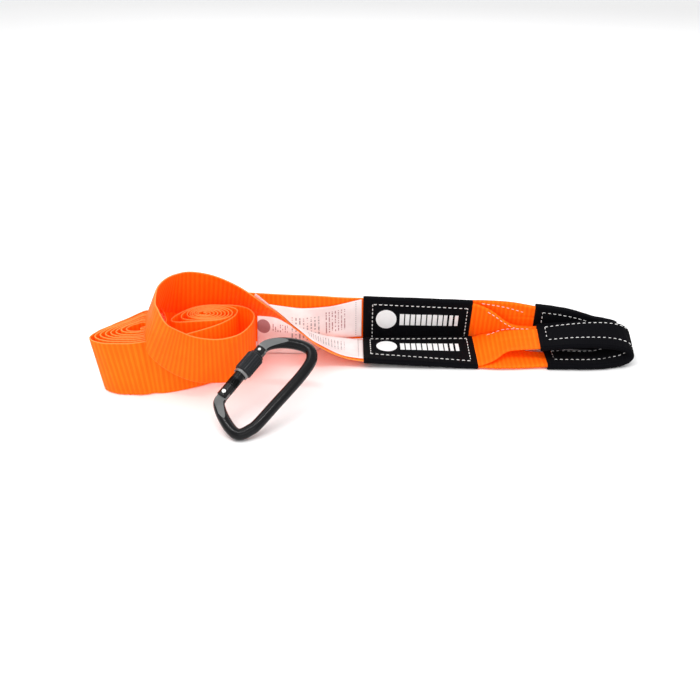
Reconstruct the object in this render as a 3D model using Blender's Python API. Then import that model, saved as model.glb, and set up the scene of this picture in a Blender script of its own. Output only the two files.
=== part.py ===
"""Recovery strap of flat webbing, laid out with a loose screw-lock carabiner.

One 50 mm strap with a sewn eye at each end. Both eyes lie at +X. The middle of
the strap is doubled and wound into two flat rolls at -X. Lengths in this file
are millimetres until an object is made, then they become metres.
"""
import math

import bmesh
import bpy
from mathutils import Matrix, Vector

MM = 0.001

# Middle of the whole footprint, in the layout's own coordinates.
FOOTPRINT_MIDDLE = Vector((20.2, -62.8, 0.0))

# Webbing
WEB_WIDTH = 50.0
WEB_THICKNESS = 1.6
ROLL_SKIN = 0.8          # from the outer turn's middle to the outside of a roll's solid
GAP = 0.4                # between solids that touch on the real strap

# Eyes
EYE_STACK = 2.8          # folded webbing in an eye's leg
SLEEVE_STACK = 6.1       # the same with its sleeve on
SLEEVE_WIDTH = 27.6
SLEEVE_INNER_STACK = 4.9
SLEEVE_INNER_WIDTH = 26.3
PATCH_STACK = 5.0
PATCH_WIDTH = 50.8
SEAM_INSET = 6.0         # patch edge to its stitching
BACK_SEAM_LOWER_INSET = 10.0
SEAM_THREAD = 0.7
SEAM_HEIGHT = 0.4
TAPE_WIDTH = 41.0
TAPE_THICKNESS = 0.5
FOLDED_TAPE_THICKNESS = 1.0   # the front label is folded double
TAPE_FACETS = 9          # across the curled tape

# Carabiner, along its gate (local X), across it (local Y, spine at -Y)
STOCK_RADIUS = 4.65
TONGUE_THICKNESS = 4.0
TONGUE_END_RADIUS = 4.0
SLOT_WIDTH = 4.8
HINGE_X = -24.2
HINGE_SLOT_END = -17.0
HINGE_SWING_RADIUS = 6.8 # stock cut away about the rivet
GATE_ROOM_START = 15.0   # stock cut away at the nose, from here to past the gate's end
CUT_REACH = 9.0          # from the carabiner's middle plane to outside its stock
NOSE_SLOT_START = 17.6
GATE_START = -28.2
GATE_END = 26.4
GATE_RADIUS = 4.85
GATE_BORE_RADIUS = 2.3
GATE_BORE_END = 4.0
RIVET_RADIUS = 1.6
LATCH_PIN_X = 23.0
LATCH_PIN_RADIUS = 1.2
NOSE_NOTCH_RADIUS = 1.5
NOSE_NOTCH_FLARE = 0.3
FIT_GAP = 0.3            # between the carabiner's own metal pieces
SLEEVE_START = -0.8
SLEEVE_END = 17.4
SLEEVE_RADIUS = 7.35
COLLAR_END = 19.3
COLLAR_RADIUS = 6.0
RING_START = -3.5
RING_END = -1.1
RING_RADIUS = 6.2
RING_EDGE = 0.3
KNURL_COUNT = 22
KNURL_DEPTH = 0.45
PLUNGER_TIP_RADIUS = 1.1
PLUNGER_RADIUS = 1.9
PLUNGER_SHOULDER = 1.8   # before the slot's end
PLUNGER_TAIL = 4.0       # past the slot's end
SPRING_WIRE_RADIUS = 0.35
SPRING_RADIUS = 1.55
SPRING_TURNS = 7

CARABINER_ORIGIN = Vector((-86.9, -97.9, 32.9))
CARABINER_LEAN = math.radians(30.0)
CARABINER_TURN = math.radians(56.0)

# Free routes: middle of the webbing (x, y, z) and the direction across it,
# from its far or lower edge to its near or upper edge.
FRONT_RUN = (
    ((11.5, -8.6, 4.7), (0.0, -0.996, 0.09)),
    ((-4.0, -8.5, 6.5), (0.02, -0.99, 0.13)),
    ((-19.0, -10.5, 12.0), (0.04, -0.98, 0.20)),
    ((-32.5, -17.7, 21.8), (0.06, -0.95, 0.29)),
    ((-42.0, -23.0, 31.0), (0.08, -0.92, 0.37)),
    ((-52.5, -27.0, 40.0), (0.10, -0.90, 0.43)),
    ((-62.0, -26.0, 47.8), (0.12, -0.87, 0.49)),
    ((-73.5, -22.0, 50.5), (0.14, -0.80, 0.58)),
    ((-85.5, -14.5, 51.5), (0.16, -0.70, 0.70)),
    ((-99.0, -6.0, 52.0), (0.16, -0.55, 0.82)),
    ((-116.0, 0.0, 53.0), (0.14, -0.35, 0.93)),
    ((-128.0, 2.0, 54.0), (0.12, -0.24, 0.96)),
    ((-142.0, 0.0, 56.0), (0.10, -0.18, 0.98)),
    ((-154.0, -7.0, 62.0), (0.20, -0.36, 0.91)),
    ((-160.2, -15.0, 69.2), (0.34, -0.59, 0.73)),
    ((-164.5, -24.8, 70.0), (0.39, -0.55, 0.74)),
    ((-166.0, -46.0, 71.0), (0.36, -0.48, 0.80)),
    ((-165.3, -63.5, 71.5), (0.375, -0.47, 0.79)),
    ((-162.7, -80.8, 71.7), (0.38, -0.50, 0.775)),
    ((-160.8, -90.0, 71.0), (0.42, -0.41, 0.81)),
    ((-156.6, -95.0, 66.0), (0.38, -0.40, 0.83)),
    ((-152.0, -96.0, 59.0), (0.36, -0.39, 0.84)),
    ((-142.0, -87.0, 45.0), (0.26, -0.28, 0.92)),
    ((-128.5, -79.5, 34.0), (0.12, -0.22, 0.97)),
    ((-112.0, -69.0, 26.5), (0.04, -0.24, 0.97)),
    ((-99.0, -63.5, 25.2), (0.0, -0.22, 0.975)),
    ((-91.5, -57.0, 25.0), (0.02, -0.19, 0.98)),
    ((-86.0, -45.0, 25.0), (0.05, -0.12, 0.99)),
    ((-83.0, -32.0, 25.0), (0.03, -0.04, 1.0)),
    ((-84.5, -22.0, 25.0), (0.0, 0.0, 1.0)),
    ((-90.0, -14.0, 25.0), (0.0, 0.0, 1.0)),
    ((-99.0, -9.3, 25.0), (0.0, 0.0, 1.0)),
    ((-107.0, -8.0, 25.0), (0.0, 0.0, 1.0)),
    ((-114.5, -8.0, 25.0), (0.0, 0.0, 1.0)),
)
LINK_BAND = (
    ((-113.6, -10.8, 25.0), (0.0, 0.0, 1.0)),
    ((-108.0, -10.8, 25.0), (0.0, 0.0, 1.0)),
    ((-101.5, -13.5, 25.0), (0.0, 0.0, 1.0)),
    ((-98.0, -20.0, 25.0), (0.0, 0.05, 1.0)),
    ((-99.5, -31.0, 25.0), (0.0, 0.10, 0.99)),
    ((-106.0, -43.0, 25.0), (0.0, 0.16, 0.98)),
    ((-116.0, -53.0, 25.0), (0.0, 0.16, 0.98)),
    ((-130.0, -62.5, 25.0), (-0.02, 0.12, 0.99)),
    ((-147.0, -72.0, 25.0), (-0.04, 0.04, 1.0)),
    ((-160.0, -77.0, 25.0), (-0.03, 0.0, 1.0)),
    ((-165.5, -77.6, 25.0), (-0.02, 0.0, 1.0)),
)
BACK_RUN = (
    ((-157.1, -44.0, 25.0), (0.0, 0.0, 1.0)),
    ((-157.8, -36.0, 25.0), (0.0, 0.0, 1.0)),
    ((-161.5, -24.0, 25.0), (0.0, 0.0, 1.0)),
    ((-168.0, -11.0, 25.0), (0.0, 0.0, 1.0)),
    ((-171.5, 2.0, 25.0), (0.0, 0.0, 1.0)),
    ((-166.0, 14.0, 25.0), (0.0, 0.0, 1.0)),
    ((-152.0, 21.0, 25.0), (0.0, 0.0, 1.0)),
    ((-130.0, 22.0, 25.0), (0.0, 0.0, 1.0)),
    ((-100.0, 18.5, 25.0), (0.0, 0.0, 1.0)),
    ((-62.0, 14.5, 25.0), (0.0, -0.04, 1.0)),
    ((-30.0, 14.3, 25.0), (0.0, -0.13, 0.99)),
    ((-10.0, 15.3, 24.6), (0.0, -0.23, 0.973)),
    ((11.5, 15.6, 24.5), (0.0, -0.27, 0.963)),
)

# Rolls: how far the outermost turn lies from the middle, by direction in degrees.
LEFT_ROLL_MIDDLE = Vector((-177.0, -49.0))
LEFT_ROLL_REACH = (
    (0, 20.5), (30, 21.5), (55, 24.0), (75, 30.0), (90, 32.0), (103, 27.0),
    (120, 22.3), (150, 20.5), (180, 24.5), (198, 34.0), (210, 41.0), (230, 38.3),
    (250, 33.5), (270, 31.5), (290, 29.8), (310, 26.5), (330, 22.5),
)
TURNS_IN_ROLL = 9         # layers of webbing from the outside to the middle
RIGHT_ROLL_MIDDLE = Vector((-121.0, -25.0))
RIGHT_ROLL_HEART = Vector((-127.5, -25.7))
RIGHT_ROLL_HALF = Vector((24.0, 17.0))
RIGHT_ROLL_HEART_HALF = Vector((2.2, 1.6))
RIGHT_ROLL_STARTS = 75
LEFT_ROLL_STARTS = 290
LEFT_ROLL_LEAVES = 365
ROLL_TIP_DIRECTION = math.radians(205.0)
ROLL_TIP_SHIFT = Vector((-12.8, -11.2))

# Patches: middle of the stack.
FRONT_PATCH = (
    ((12.0, -8.7, 4.9), (0.0, -0.996, 0.09)),
    ((62.0, -10.0, 4.3), (0.0, -1.0, 0.02)),
    ((113.0, -11.4, 4.1), (0.0, -0.998, -0.06)),
)
BACK_PATCH = (
    ((12.0, 15.6, 25.3), (0.0, -0.27, 0.963)),
    ((60.0, 13.8, 25.1), (0.0, -0.32, 0.947)),
    ((110.0, 12.0, 25.0), (0.0, -0.38, 0.925)),
)

# Eyes: (middle, across, width) for the folded webbing.
FRONT_EYE = (
    ((114.0, -11.6, 2.2), (0.0, -0.998, -0.02), 49.0),
    ((130.0, -14.6, 2.3), (0.0, -1.0, 0.0), 41.0),
    ((150.0, -18.0, 2.4), (0.0, -1.0, 0.0), 32.0),
    ((170.0, -20.8, 3.1), (0.0, -1.0, 0.0), 24.6),
    ((192.0, -22.6, 3.4), (0.0, -1.0, 0.0), 24.0),
    ((218.0, -22.8, 3.4), (0.0, -1.0, 0.0), 24.0),
    ((234.0, -21.2, 5.2), (0.0, -0.985, -0.15), 24.0),
    ((244.6, -19.4, 8.6), (0.0, -0.955, -0.28), 24.0),
    ((249.0, -17.8, 13.8), (0.0, -0.91, -0.42), 24.0),
    ((245.0, -16.8, 19.8), (0.0, -0.88, -0.48), 24.0),
    ((234.0, -16.2, 23.2), (0.0, -0.87, -0.50), 24.0),
    ((218.0, -16.2, 24.2), (0.0, -0.88, -0.46), 24.0),
    ((195.0, -16.8, 23.4), (0.0, -0.93, -0.37), 24.0),
    ((172.0, -16.6, 20.6), (0.0, -0.95, -0.30), 24.4),
    ((150.0, -14.6, 15.6), (0.0, -0.97, -0.24), 33.0),
    ((130.0, -12.4, 10.4), (0.0, -0.985, -0.16), 41.0),
    ((114.0, -11.2, 6.8), (0.0, -0.997, -0.07), 49.0),
)
BACK_EYE = (
    ((111.0, 15.0, 25.4), (0.0, -0.38, 0.925), 49.0),
    ((126.0, 14.4, 27.2), (0.0, -0.34, 0.94), 42.0),
    ((146.0, 12.4, 29.2), (0.0, -0.28, 0.96), 33.0),
    ((168.0, 10.2, 29.0), (0.0, -0.20, 0.98), 24.0),
    ((190.0, 9.0, 25.8), (-0.02, -0.10, 0.99), 24.0),
    ((208.0, 8.4, 21.4), (-0.06, 0.0, 0.99), 24.0),
    ((222.0, 7.8, 17.0), (-0.12, 0.02, 0.99), 24.0),
    ((231.0, 6.2, 15.2), (-0.20, 0.02, 0.97), 24.0),
    ((235.0, 3.0, 14.6), (-0.24, 0.0, 0.97), 24.0),
    ((231.0, 0.0, 14.4), (-0.20, 0.0, 0.98), 24.0),
    ((220.0, 0.4, 14.3), (-0.10, 0.0, 0.99), 24.0),
    ((204.0, 1.4, 14.2), (-0.03, 0.0, 1.0), 24.0),
    ((186.0, 2.4, 14.2), (0.0, 0.0, 1.0), 24.0),
    ((166.0, 3.8, 14.4), (0.0, 0.0, 1.0), 24.0),
    ((146.0, 6.6, 16.0), (0.0, -0.12, 0.99), 30.0),
    ((128.0, 9.8, 20.8), (0.0, -0.28, 0.96), 40.0),
    ((111.0, 11.1, 24.8), (0.0, -0.38, 0.925), 47.0),
)
# Where each sleeve begins on its first and its second leg.
FRONT_SLEEVE_FROM = (174.0, 168.0)
BACK_SLEEVE_FROM = (165.0, 166.0)

# Label tapes: middle and across.
FRONT_TAPE = (
    ((9.0, -8.4, 6.8), (0.0, -0.994, 0.10)),
    ((-4.0, -8.3, 8.9), (0.02, -0.985, 0.15)),
    ((-18.5, -9.0, 15.2), (0.04, -0.97, 0.24)),
    ((-30.0, -14.4, 25.0), (0.06, -0.94, 0.33)),
    ((-40.0, -18.6, 35.4), (0.08, -0.90, 0.42)),
    ((-50.5, -22.6, 43.6), (0.10, -0.87, 0.48)),
    ((-61.0, -22.0, 50.9), (0.12, -0.82, 0.55)),
    ((-72.5, -18.2, 54.0), (0.14, -0.75, 0.64)),
    ((-82.0, -12.2, 55.4), (0.16, -0.66, 0.73)),
    ((-88.0, -8.0, 56.4), (0.16, -0.62, 0.77)),
)

# (x, then (y, z) down the tape from its upper edge) for the tape on the back run.
BACK_TAPE = (
    (6.0, ((7.0, 47.8), (10.6, 34.6), (14.2, 21.4), (17.8, 8.2))),
    (-8.0, ((8.9, 42.1), (11.8, 29.2), (14.7, 16.1), (17.5, 3.0))),
    (-18.0, ((9.5, 39.4), (12.9, 24.0), (16.4, 8.5), (15.4, 1.5))),
    (-26.0, ((9.7, 38.6), (13.3, 14.5), (12.0, 3.6), (5.0, 0.9))),
    (-34.0, ((9.4, 38.0), (8.6, 15.6), (2.0, 6.4), (-6.0, 0.9))),
    (-46.0, ((11.0, 36.9), (4.9, 24.8), (-1.2, 12.8), (-7.3, 0.9))),
    (-84.0, ((12.0, 36.3), (5.6, 24.5), (-0.9, 12.7), (-7.3, 0.9))),
)

# Carabiner stock, hinge end to nose.
BODY_ROUTE = (
    (-29.5, -0.6), (-34.2, -2.2), (-40.1, -9.8), (-45.3, -20.1), (-47.4, -28.2), (-45.7, -32.9),
    (-39.3, -36.3), (-31.6, -38.4), (-8.5, -39.7), (18.8, -41.2), (34.6, -40.8), (42.7, -38.4),
    (47.0, -33.7), (47.4, -26.9), (44.8, -18.4), (40.1, -9.8), (34.2, -3.2), (29.4, -0.4), (25.0, 0.0),
)
# Where the hinge tongue runs back into the stock, and the whole of the nose's tongue.
HINGE_TONGUE_ROOT = ((-32.0, 3.0), (-36.0, -2.0), (-35.0, -5.0), (-31.0, -5.0))
NOSE_TONGUE = (
    (20.0, -2.6), (20.8, -3.7), (30.0, -3.9), (31.0, 2.8), (28.0, 3.9), (20.8, 3.9), (20.0, 2.8),
)


def unit(values):
    return Vector(values).normalized()


def clear_scene():
    for item in list(bpy.data.objects):
        bpy.data.objects.remove(item, do_unlink=True)


def make_material(name, colour, roughness, metallic=0.0):
    material = bpy.data.materials.new(name)
    material.use_nodes = True
    shader = material.node_tree.nodes["Principled BSDF"]
    shader.inputs["Base Color"].default_value = (*colour, 1.0)
    shader.inputs["Roughness"].default_value = roughness
    shader.inputs["Metallic"].default_value = metallic
    return material


def placed(point):
    """A layout point in metres, with the footprint's middle at the origin."""
    return (Vector(point) - FOOTPRINT_MIDDLE) * MM


def object_from(name, points, faces, material, smooth=False):
    """An object from points already in metres."""
    mesh = bpy.data.meshes.new(name)
    mesh.from_pydata([tuple(p) for p in points], [], faces)
    build = bmesh.new()
    build.from_mesh(mesh)
    bmesh.ops.recalc_face_normals(build, faces=build.faces)
    build.to_mesh(mesh)
    build.free()
    mesh.materials.append(material)
    if smooth:
        mesh.shade_smooth()
        mesh.set_sharp_from_angle(angle=math.radians(35))
    item = bpy.data.objects.new(name, mesh)
    bpy.context.scene.collection.objects.link(item)
    return item


def skin(name, sections, material, convert=placed, smooth=False):
    """One closed body through rings of points, capped at both ends."""
    count = len(sections[0])
    points = [convert(p) for ring in sections for p in ring]
    faces = [tuple(range(count)), tuple(range(len(points) - count, len(points)))]
    for ring in range(len(sections) - 1):
        for side in range(count):
            after = (side + 1) % count
            low, high = ring * count, (ring + 1) * count
            faces.append((low + side, low + after, high + after, high + side))
    return object_from(name, points, faces, material, smooth)


def curve_point(points, place):
    """Catmull-Rom point at place, counted in control points."""
    last = len(points) - 1
    start = min(int(place), last - 1)
    t = place - start
    before = points[start - 1] if start else 2 * points[0] - points[1]
    first, second = points[start], points[start + 1]
    after = points[start + 2] if start + 2 <= last else 2 * points[last] - points[last - 1]
    return 0.5 * (
        2 * first
        + (second - before) * t
        + (2 * before - 5 * first + 4 * second - after) * t * t
        + (3 * first - before - 3 * second + after) * t ** 3
    )


def along(rows, step):
    """(middle, across, forward) about every step mm on the smooth route."""
    middles = [Vector(row[0]) for row in rows]
    acrosses = [unit(row[1]) for row in rows]
    stations = []
    for index in range(len(rows) - 1):
        parts = max(1, round((middles[index + 1] - middles[index]).length / step))
        stations += [index + part / parts for part in range(parts)]
    stations.append(len(rows) - 1)
    found = []
    for place in stations:
        ahead = curve_point(middles, min(place + 0.02, len(rows) - 1))
        behind = curve_point(middles, max(place - 0.02, 0))
        across = curve_point(acrosses, place).normalized()
        found.append((curve_point(middles, place), across, (ahead - behind).normalized()))
    return found


def band_ring(middle, across, forward, width, thickness, rounding=0.0, edge_share=1.0):
    """A flat ring, with its corners cut when rounding is given."""
    out = forward.cross(across).normalized() * (thickness / 2)
    side = across * (width / 2)
    if not rounding:
        return [middle - side - out, middle + side - out, middle + side + out, middle - side + out]
    inner = across * (width / 2 - rounding)
    thin = out * edge_share
    return [
        middle - inner - out, middle + inner - out, middle + side - thin, middle + side + thin,
        middle + inner + out, middle - inner + out, middle - side + thin, middle - side - thin,
    ]


def flat_run(name, rows, material, width=WEB_WIDTH, thickness=WEB_THICKNESS, step=5.0):
    """Flat material of one width along a route."""
    sections = [
        band_ring(middle, across, forward, width, thickness)
        for middle, across, forward in along(rows, step)
    ]
    return skin(name, sections, material)


def reach_at(table, degrees):
    """Smooth periodic value from a table of (degrees, reach)."""
    degrees %= 360
    count = len(table)
    index = max(i for i in range(count) if table[i][0] <= degrees)
    angle = [table[(index + k) % count][0] + 360 * ((index + k) // count) for k in (-1, 0, 1, 2)]
    value = [table[(index + k) % count][1] for k in (-1, 0, 1, 2)]
    t = (degrees - angle[1]) / (angle[2] - angle[1])
    slope_in = (value[2] - value[0]) / (angle[2] - angle[0]) * (angle[2] - angle[1])
    slope_out = (value[3] - value[1]) / (angle[3] - angle[1]) * (angle[2] - angle[1])
    return (
        value[1] * (1 + 2 * t) * (1 - t) ** 2
        + slope_in * t * (1 - t) ** 2
        + value[2] * t * t * (3 - 2 * t)
        + slope_out * t * t * (t - 1)
    )


def polar(middle, reach, degrees):
    angle = math.radians(degrees)
    return middle + reach * Vector((math.cos(angle), math.sin(angle)))


def left_roll_point(degrees, layer, skin_depth=0.0):
    """A point of the left roll, layer turns in from its outside."""
    heart = 3 + 3 * math.cos(math.radians(degrees - 40)) ** 2
    outer = reach_at(LEFT_ROLL_REACH, degrees)
    reach = outer + (heart - outer) * layer / TURNS_IN_ROLL
    return polar(LEFT_ROLL_MIDDLE, reach + skin_depth, degrees)


def right_roll_point(degrees, layer, skin_depth=0.0):
    """The same for the right roll, whose far left is drawn out into a blunt tip."""
    share = layer / TURNS_IN_ROLL
    angle = math.radians(degrees)
    middle = RIGHT_ROLL_MIDDLE.lerp(RIGHT_ROLL_HEART, share)
    half = RIGHT_ROLL_HALF.lerp(RIGHT_ROLL_HEART_HALF, share) + Vector((skin_depth, skin_depth))
    pull = max(0.0, math.cos(angle - ROLL_TIP_DIRECTION)) ** 4 * math.exp(-((layer / 1.6) ** 2))
    return middle + Vector((half.x * math.cos(angle), half.y * math.sin(angle))) + ROLL_TIP_SHIFT * pull


def left_roll_outline(step=6):
    """Clockwise the webbing goes in from LEFT_ROLL_STARTS; the last turn out covers the right side."""
    outline = []
    for degrees in range(LEFT_ROLL_STARTS + 1, LEFT_ROLL_LEAVES - 1, step):
        layer = 1 - (degrees - LEFT_ROLL_STARTS) / 180
        outline.append(left_roll_point(degrees, layer, ROLL_SKIN))
    for degrees in range(LEFT_ROLL_LEAVES - 360 + 3, LEFT_ROLL_STARTS - 1, step):
        layer = (LEFT_ROLL_STARTS - degrees) / 180
        outline.append(left_roll_point(degrees, layer, ROLL_SKIN))
    return outline


def right_roll_outline(step=6):
    """Anticlockwise the webbing goes in from RIGHT_ROLL_STARTS."""
    outline = []
    for degrees in range(RIGHT_ROLL_STARTS + 4, RIGHT_ROLL_STARTS + 357, step):
        layer = (degrees - RIGHT_ROLL_STARTS) / 180
        outline.append(right_roll_point(degrees, layer, ROLL_SKIN))
    return outline


def upright_prism(name, outline, material, height=WEB_WIDTH):
    bottom = [Vector((p.x, p.y, 0.0)) for p in outline]
    top = [Vector((p.x, p.y, height)) for p in outline]
    return skin(name, [bottom, top], material)


def eye_stations(rows, step):
    """(middle, across, forward, width) along an eye."""
    frames = along([row[:2] for row in rows], step)
    widths = [Vector((row[2], 0.0, 0.0)) for row in rows]
    middles = [Vector(row[0]) for row in rows]
    found = []
    place = 0
    for index in range(len(rows) - 1):
        parts = max(1, round((middles[index + 1] - middles[index]).length / step))
        for part in range(parts):
            found.append((*frames[place], curve_point(widths, index + part / parts).x))
            place += 1
    found.append((*frames[place], widths[-1].x))
    return found


def eye_web(name, rows, material, step=2.0):
    sections = [
        band_ring(middle, across, forward, width, EYE_STACK)
        for middle, across, forward, width in eye_stations(rows, step)
    ]
    return skin(name, sections, material)


def eye_sleeve(name, rows, material, starts, step=2.0):
    """A flattened tube, open at both ends, over the part of the eye beyond starts."""
    stations = eye_stations(rows, step)
    turn = max(range(len(stations)), key=lambda index: stations[index][0].x)
    stations = [
        station for index, station in enumerate(stations)
        if station[0].x > starts[0 if index <= turn else 1]
    ]
    outer = []
    inner = []
    for middle, across, forward, width in stations:
        outer.append(band_ring(middle, across, forward, SLEEVE_WIDTH, SLEEVE_STACK, 1.0, 0.6))
        inner.append(
            band_ring(middle, across, forward, SLEEVE_INNER_WIDTH, SLEEVE_INNER_STACK, 0.4)
        )
    count = len(outer[0])
    rings = outer + inner[::-1]
    points = [placed(p) for ring in rings for p in ring]
    faces = []
    total = len(rings)
    for ring in range(total):
        for side in range(count):
            after = (side + 1) % count
            low, high = ring * count, (ring + 1) % total * count
            faces.append((low + side, low + after, high + after, high + side))
    return object_from(name, points, faces, material)


def thread_ring(name, corners, material, lift):
    """A closed line of stitching lying just above a patch; corners are (middle, out) pairs."""
    sections = []
    count = len(corners)
    for index, (middle, out) in enumerate(corners):
        ahead = (corners[(index + 1) % count][0] - middle).normalized()
        behind = (middle - corners[index - 1][0]).normalized()
        forward = (ahead + behind).normalized()
        side = out.cross(forward).normalized()
        stretch = 1 / max(0.5, forward.dot(ahead))
        half = SEAM_THREAD / 2
        base = middle + out * lift
        sections.append([
            base - side * half * stretch,
            base + side * half * stretch,
            base + side * half * stretch + out * SEAM_HEIGHT,
            base - side * half * stretch + out * SEAM_HEIGHT,
        ])
    points = [placed(p) for ring in sections for p in ring]
    faces = []
    for ring in range(count):
        for side in range(4):
            after = (side + 1) % 4
            low, high = ring * 4, (ring + 1) % count * 4
            faces.append((low + side, low + after, high + after, high + side))
    return object_from(name, points, faces, material)


def patch_seam(name, rows, material, inset, far_inset, towards):
    """Stitching inset from a patch's edges, far_inset from its far or lower one."""
    stations = along(rows, 10.0)
    corners = []
    start = rows[0][0][0] + inset
    end = rows[-1][0][0] - inset
    near = [station for station in stations if start <= station[0].x <= end]
    for sign, line, depth in ((-1, near, far_inset), (1, near[::-1], inset)):
        for middle, across, forward in line:
            out = forward.cross(across).normalized()
            if out.dot(towards) < 0:
                out = -out
            corners.append((middle + across * sign * (PATCH_WIDTH / 2 - depth), out))
    return thread_ring(name, corners, material, PATCH_STACK / 2 + GAP)


def back_tape(name, material):
    """A thin tape whose lower part curls under the front run."""
    stations = []
    for (x, first), (x_after, second) in zip(BACK_TAPE, BACK_TAPE[1:]):
        parts = max(1, round(abs(x_after - x) / 5))
        for part in range(parts):
            t = part / parts
            line = [Vector(p).lerp(Vector(q), t) for p, q in zip(first, second)]
            stations.append((x + (x_after - x) * t, line))
    stations.append((BACK_TAPE[-1][0], [Vector(p) for p in BACK_TAPE[-1][1]]))
    sections = []
    for x, line in stations:
        fine = [curve_point(line, 3 * step / TAPE_FACETS) for step in range(TAPE_FACETS + 1)]
        front = []
        behind = []
        for index, point in enumerate(fine):
            down = (fine[min(index + 1, TAPE_FACETS)] - fine[max(index - 1, 0)]).normalized()
            side = Vector((down.y, -down.x)) * (TAPE_THICKNESS / 2)
            front.append(Vector((x, point.x + side.x, point.y + side.y)))
            behind.append(Vector((x, point.x - side.x, point.y - side.y)))
        sections.append(front + behind[::-1])
    return skin(name, sections, material)


def carabiner_axes():
    across = Vector((1.0, 0.0, 0.0))
    up = Vector((0.0, math.cos(CARABINER_LEAN), math.sin(CARABINER_LEAN)))
    along_gate = across * math.cos(CARABINER_TURN) + up * math.sin(CARABINER_TURN)
    outward = up * math.cos(CARABINER_TURN) - across * math.sin(CARABINER_TURN)
    return along_gate, outward, across.cross(up)


CARABINER_AXES = carabiner_axes()


def on_carabiner(point):
    """The carabiner's own (x, y, z) to metres in the layout."""
    spot = CARABINER_ORIGIN.copy()
    for axis, value in zip(CARABINER_AXES, point):
        spot += axis * value
    return placed(spot)


def set_origin(item, point):
    """Move an object's origin to a point in metres, leaving its mesh where it is."""
    item.data.transform(Matrix.Translation(-point))
    item.location = point


def tube(name, centres, radius, material, sides=16):
    """Round stock through points in the carabiner's plane."""
    centres = [Vector((x, y)) for x, y in centres]
    fine = []
    for index in range(len(centres) - 1):
        parts = max(1, round((centres[index + 1] - centres[index]).length / 2.6))
        fine += [curve_point(centres, index + part / parts) for part in range(parts)]
    fine.append(centres[-1])
    sections = []
    for index, point in enumerate(fine):
        ahead = (fine[min(index + 1, len(fine) - 1)] - fine[max(index - 1, 0)]).normalized()
        side = Vector((ahead.y, -ahead.x))
        ring = []
        for step in range(sides):
            angle = 2 * math.pi * (step + 0.5) / sides
            flat = point + side * radius * math.cos(angle)
            ring.append(Vector((flat.x, flat.y, radius * math.sin(angle))))
        sections.append(ring)
    return skin(name, sections, material, on_carabiner, smooth=True)


def round_bar(name, profile, material, sides=32, hollow=None):
    """A turned piece along the gate's axis from (x, radius) pairs, hollow when a bore is given."""
    rings = []
    for x, radius in profile:
        angles = [2 * math.pi * step / sides for step in range(sides)]
        rings.append([Vector((x, radius * math.cos(a), radius * math.sin(a))) for a in angles])
    if hollow is None:
        return skin(name, rings, material, on_carabiner, smooth=True)
    for x in (profile[-1][0], profile[0][0]):
        rings.append([Vector((x, hollow * math.cos(a), hollow * math.sin(a))) for a in angles])
    points = [on_carabiner(p) for ring in rings for p in ring]
    faces = []
    for ring in range(len(rings)):
        for side in range(sides):
            after = (side + 1) % sides
            low, high = ring * sides, (ring + 1) % len(rings) * sides
            faces.append((low + side, low + after, high + after, high + side))
    return object_from(name, points, faces, material, smooth=True)


def cross_bar(name, x, y, radius, half_length, material, sides=24):
    """A pin across the gate, along the carabiner's face normal."""
    rings = []
    for z in (-half_length, half_length):
        angles = [2 * math.pi * step / sides for step in range(sides)]
        ring = [(x + radius * math.cos(a), y + radius * math.sin(a)) for a in angles]
        rings.append([Vector((*corner, z)) for corner in ring])
    return skin(name, rings, material, on_carabiner, smooth=True)


def block(name, low, high, material):
    (x0, y0, z0), (x1, y1, z1) = low, high
    rings = []
    for z in (z0, z1):
        corners = ((x0, y0), (x1, y0), (x1, y1), (x0, y1))
        rings.append([Vector((x, y, z)) for x, y in corners])
    return skin(name, rings, material, on_carabiner)


def plate(name, outline, half, material):
    """A flat piece in the carabiner's plane."""
    rings = [[Vector((x, y, z)) for x, y in outline] for z in (-half, half)]
    return skin(name, rings, material, on_carabiner)


def combine(target, tool, operation):
    """Cut with or join a helper object, which is then left out of the part."""
    tool.hide_render = True
    tool.display_type = "WIRE"
    change = target.modifiers.new(tool.name, "BOOLEAN")
    change.operation = operation
    change.solver = "EXACT"
    change.object = tool


def hinge_tongue_outline():
    """Round about the rivet, then running back into the stock."""
    outline = []
    for step in range(13):
        angle = math.radians(-90 + 180 * step / 12)
        outline.append((HINGE_X + TONGUE_END_RADIUS * math.cos(angle),
                        TONGUE_END_RADIUS * math.sin(angle)))
    return outline + list(HINGE_TONGUE_ROOT)


def nose_notch_outline():
    """A round seat for the latch pin, open towards the spine."""
    outline = []
    for step in range(7):
        angle = math.radians(30 * step)
        outline.append((LATCH_PIN_X + NOSE_NOTCH_RADIUS * math.cos(angle),
                        NOSE_NOTCH_RADIUS * math.sin(angle)))
    mouth = NOSE_NOTCH_RADIUS + NOSE_NOTCH_FLARE
    outline.append((LATCH_PIN_X - mouth, -CUT_REACH))
    outline.append((LATCH_PIN_X + mouth, -CUT_REACH))
    return outline


def make_body(material):
    body = tube("carabiner_body", BODY_ROUTE, STOCK_RADIUS, material)
    swing = cross_bar("hinge_clearance", HINGE_X, 0.0, HINGE_SWING_RADIUS, CUT_REACH, material, 32)
    combine(body, swing, "DIFFERENCE")
    gate_room = block("gate_clearance", (GATE_ROOM_START, -CUT_REACH, -CUT_REACH),
                      (GATE_END + 0.5, CUT_REACH, CUT_REACH), material)
    combine(body, gate_room, "DIFFERENCE")
    tongue = plate("hinge_tongue", hinge_tongue_outline(), TONGUE_THICKNESS / 2, material)
    combine(body, tongue, "UNION")
    nose = plate("nose_tongue", NOSE_TONGUE, TONGUE_THICKNESS / 2, material)
    combine(body, nose, "UNION")
    rivet_hole = cross_bar("rivet_hole", HINGE_X, 0.0, RIVET_RADIUS + FIT_GAP, CUT_REACH, material)
    combine(body, rivet_hole, "DIFFERENCE")
    notch = plate("nose_notch", nose_notch_outline(), TONGUE_THICKNESS, material)
    combine(body, notch, "DIFFERENCE")
    return body


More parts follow.
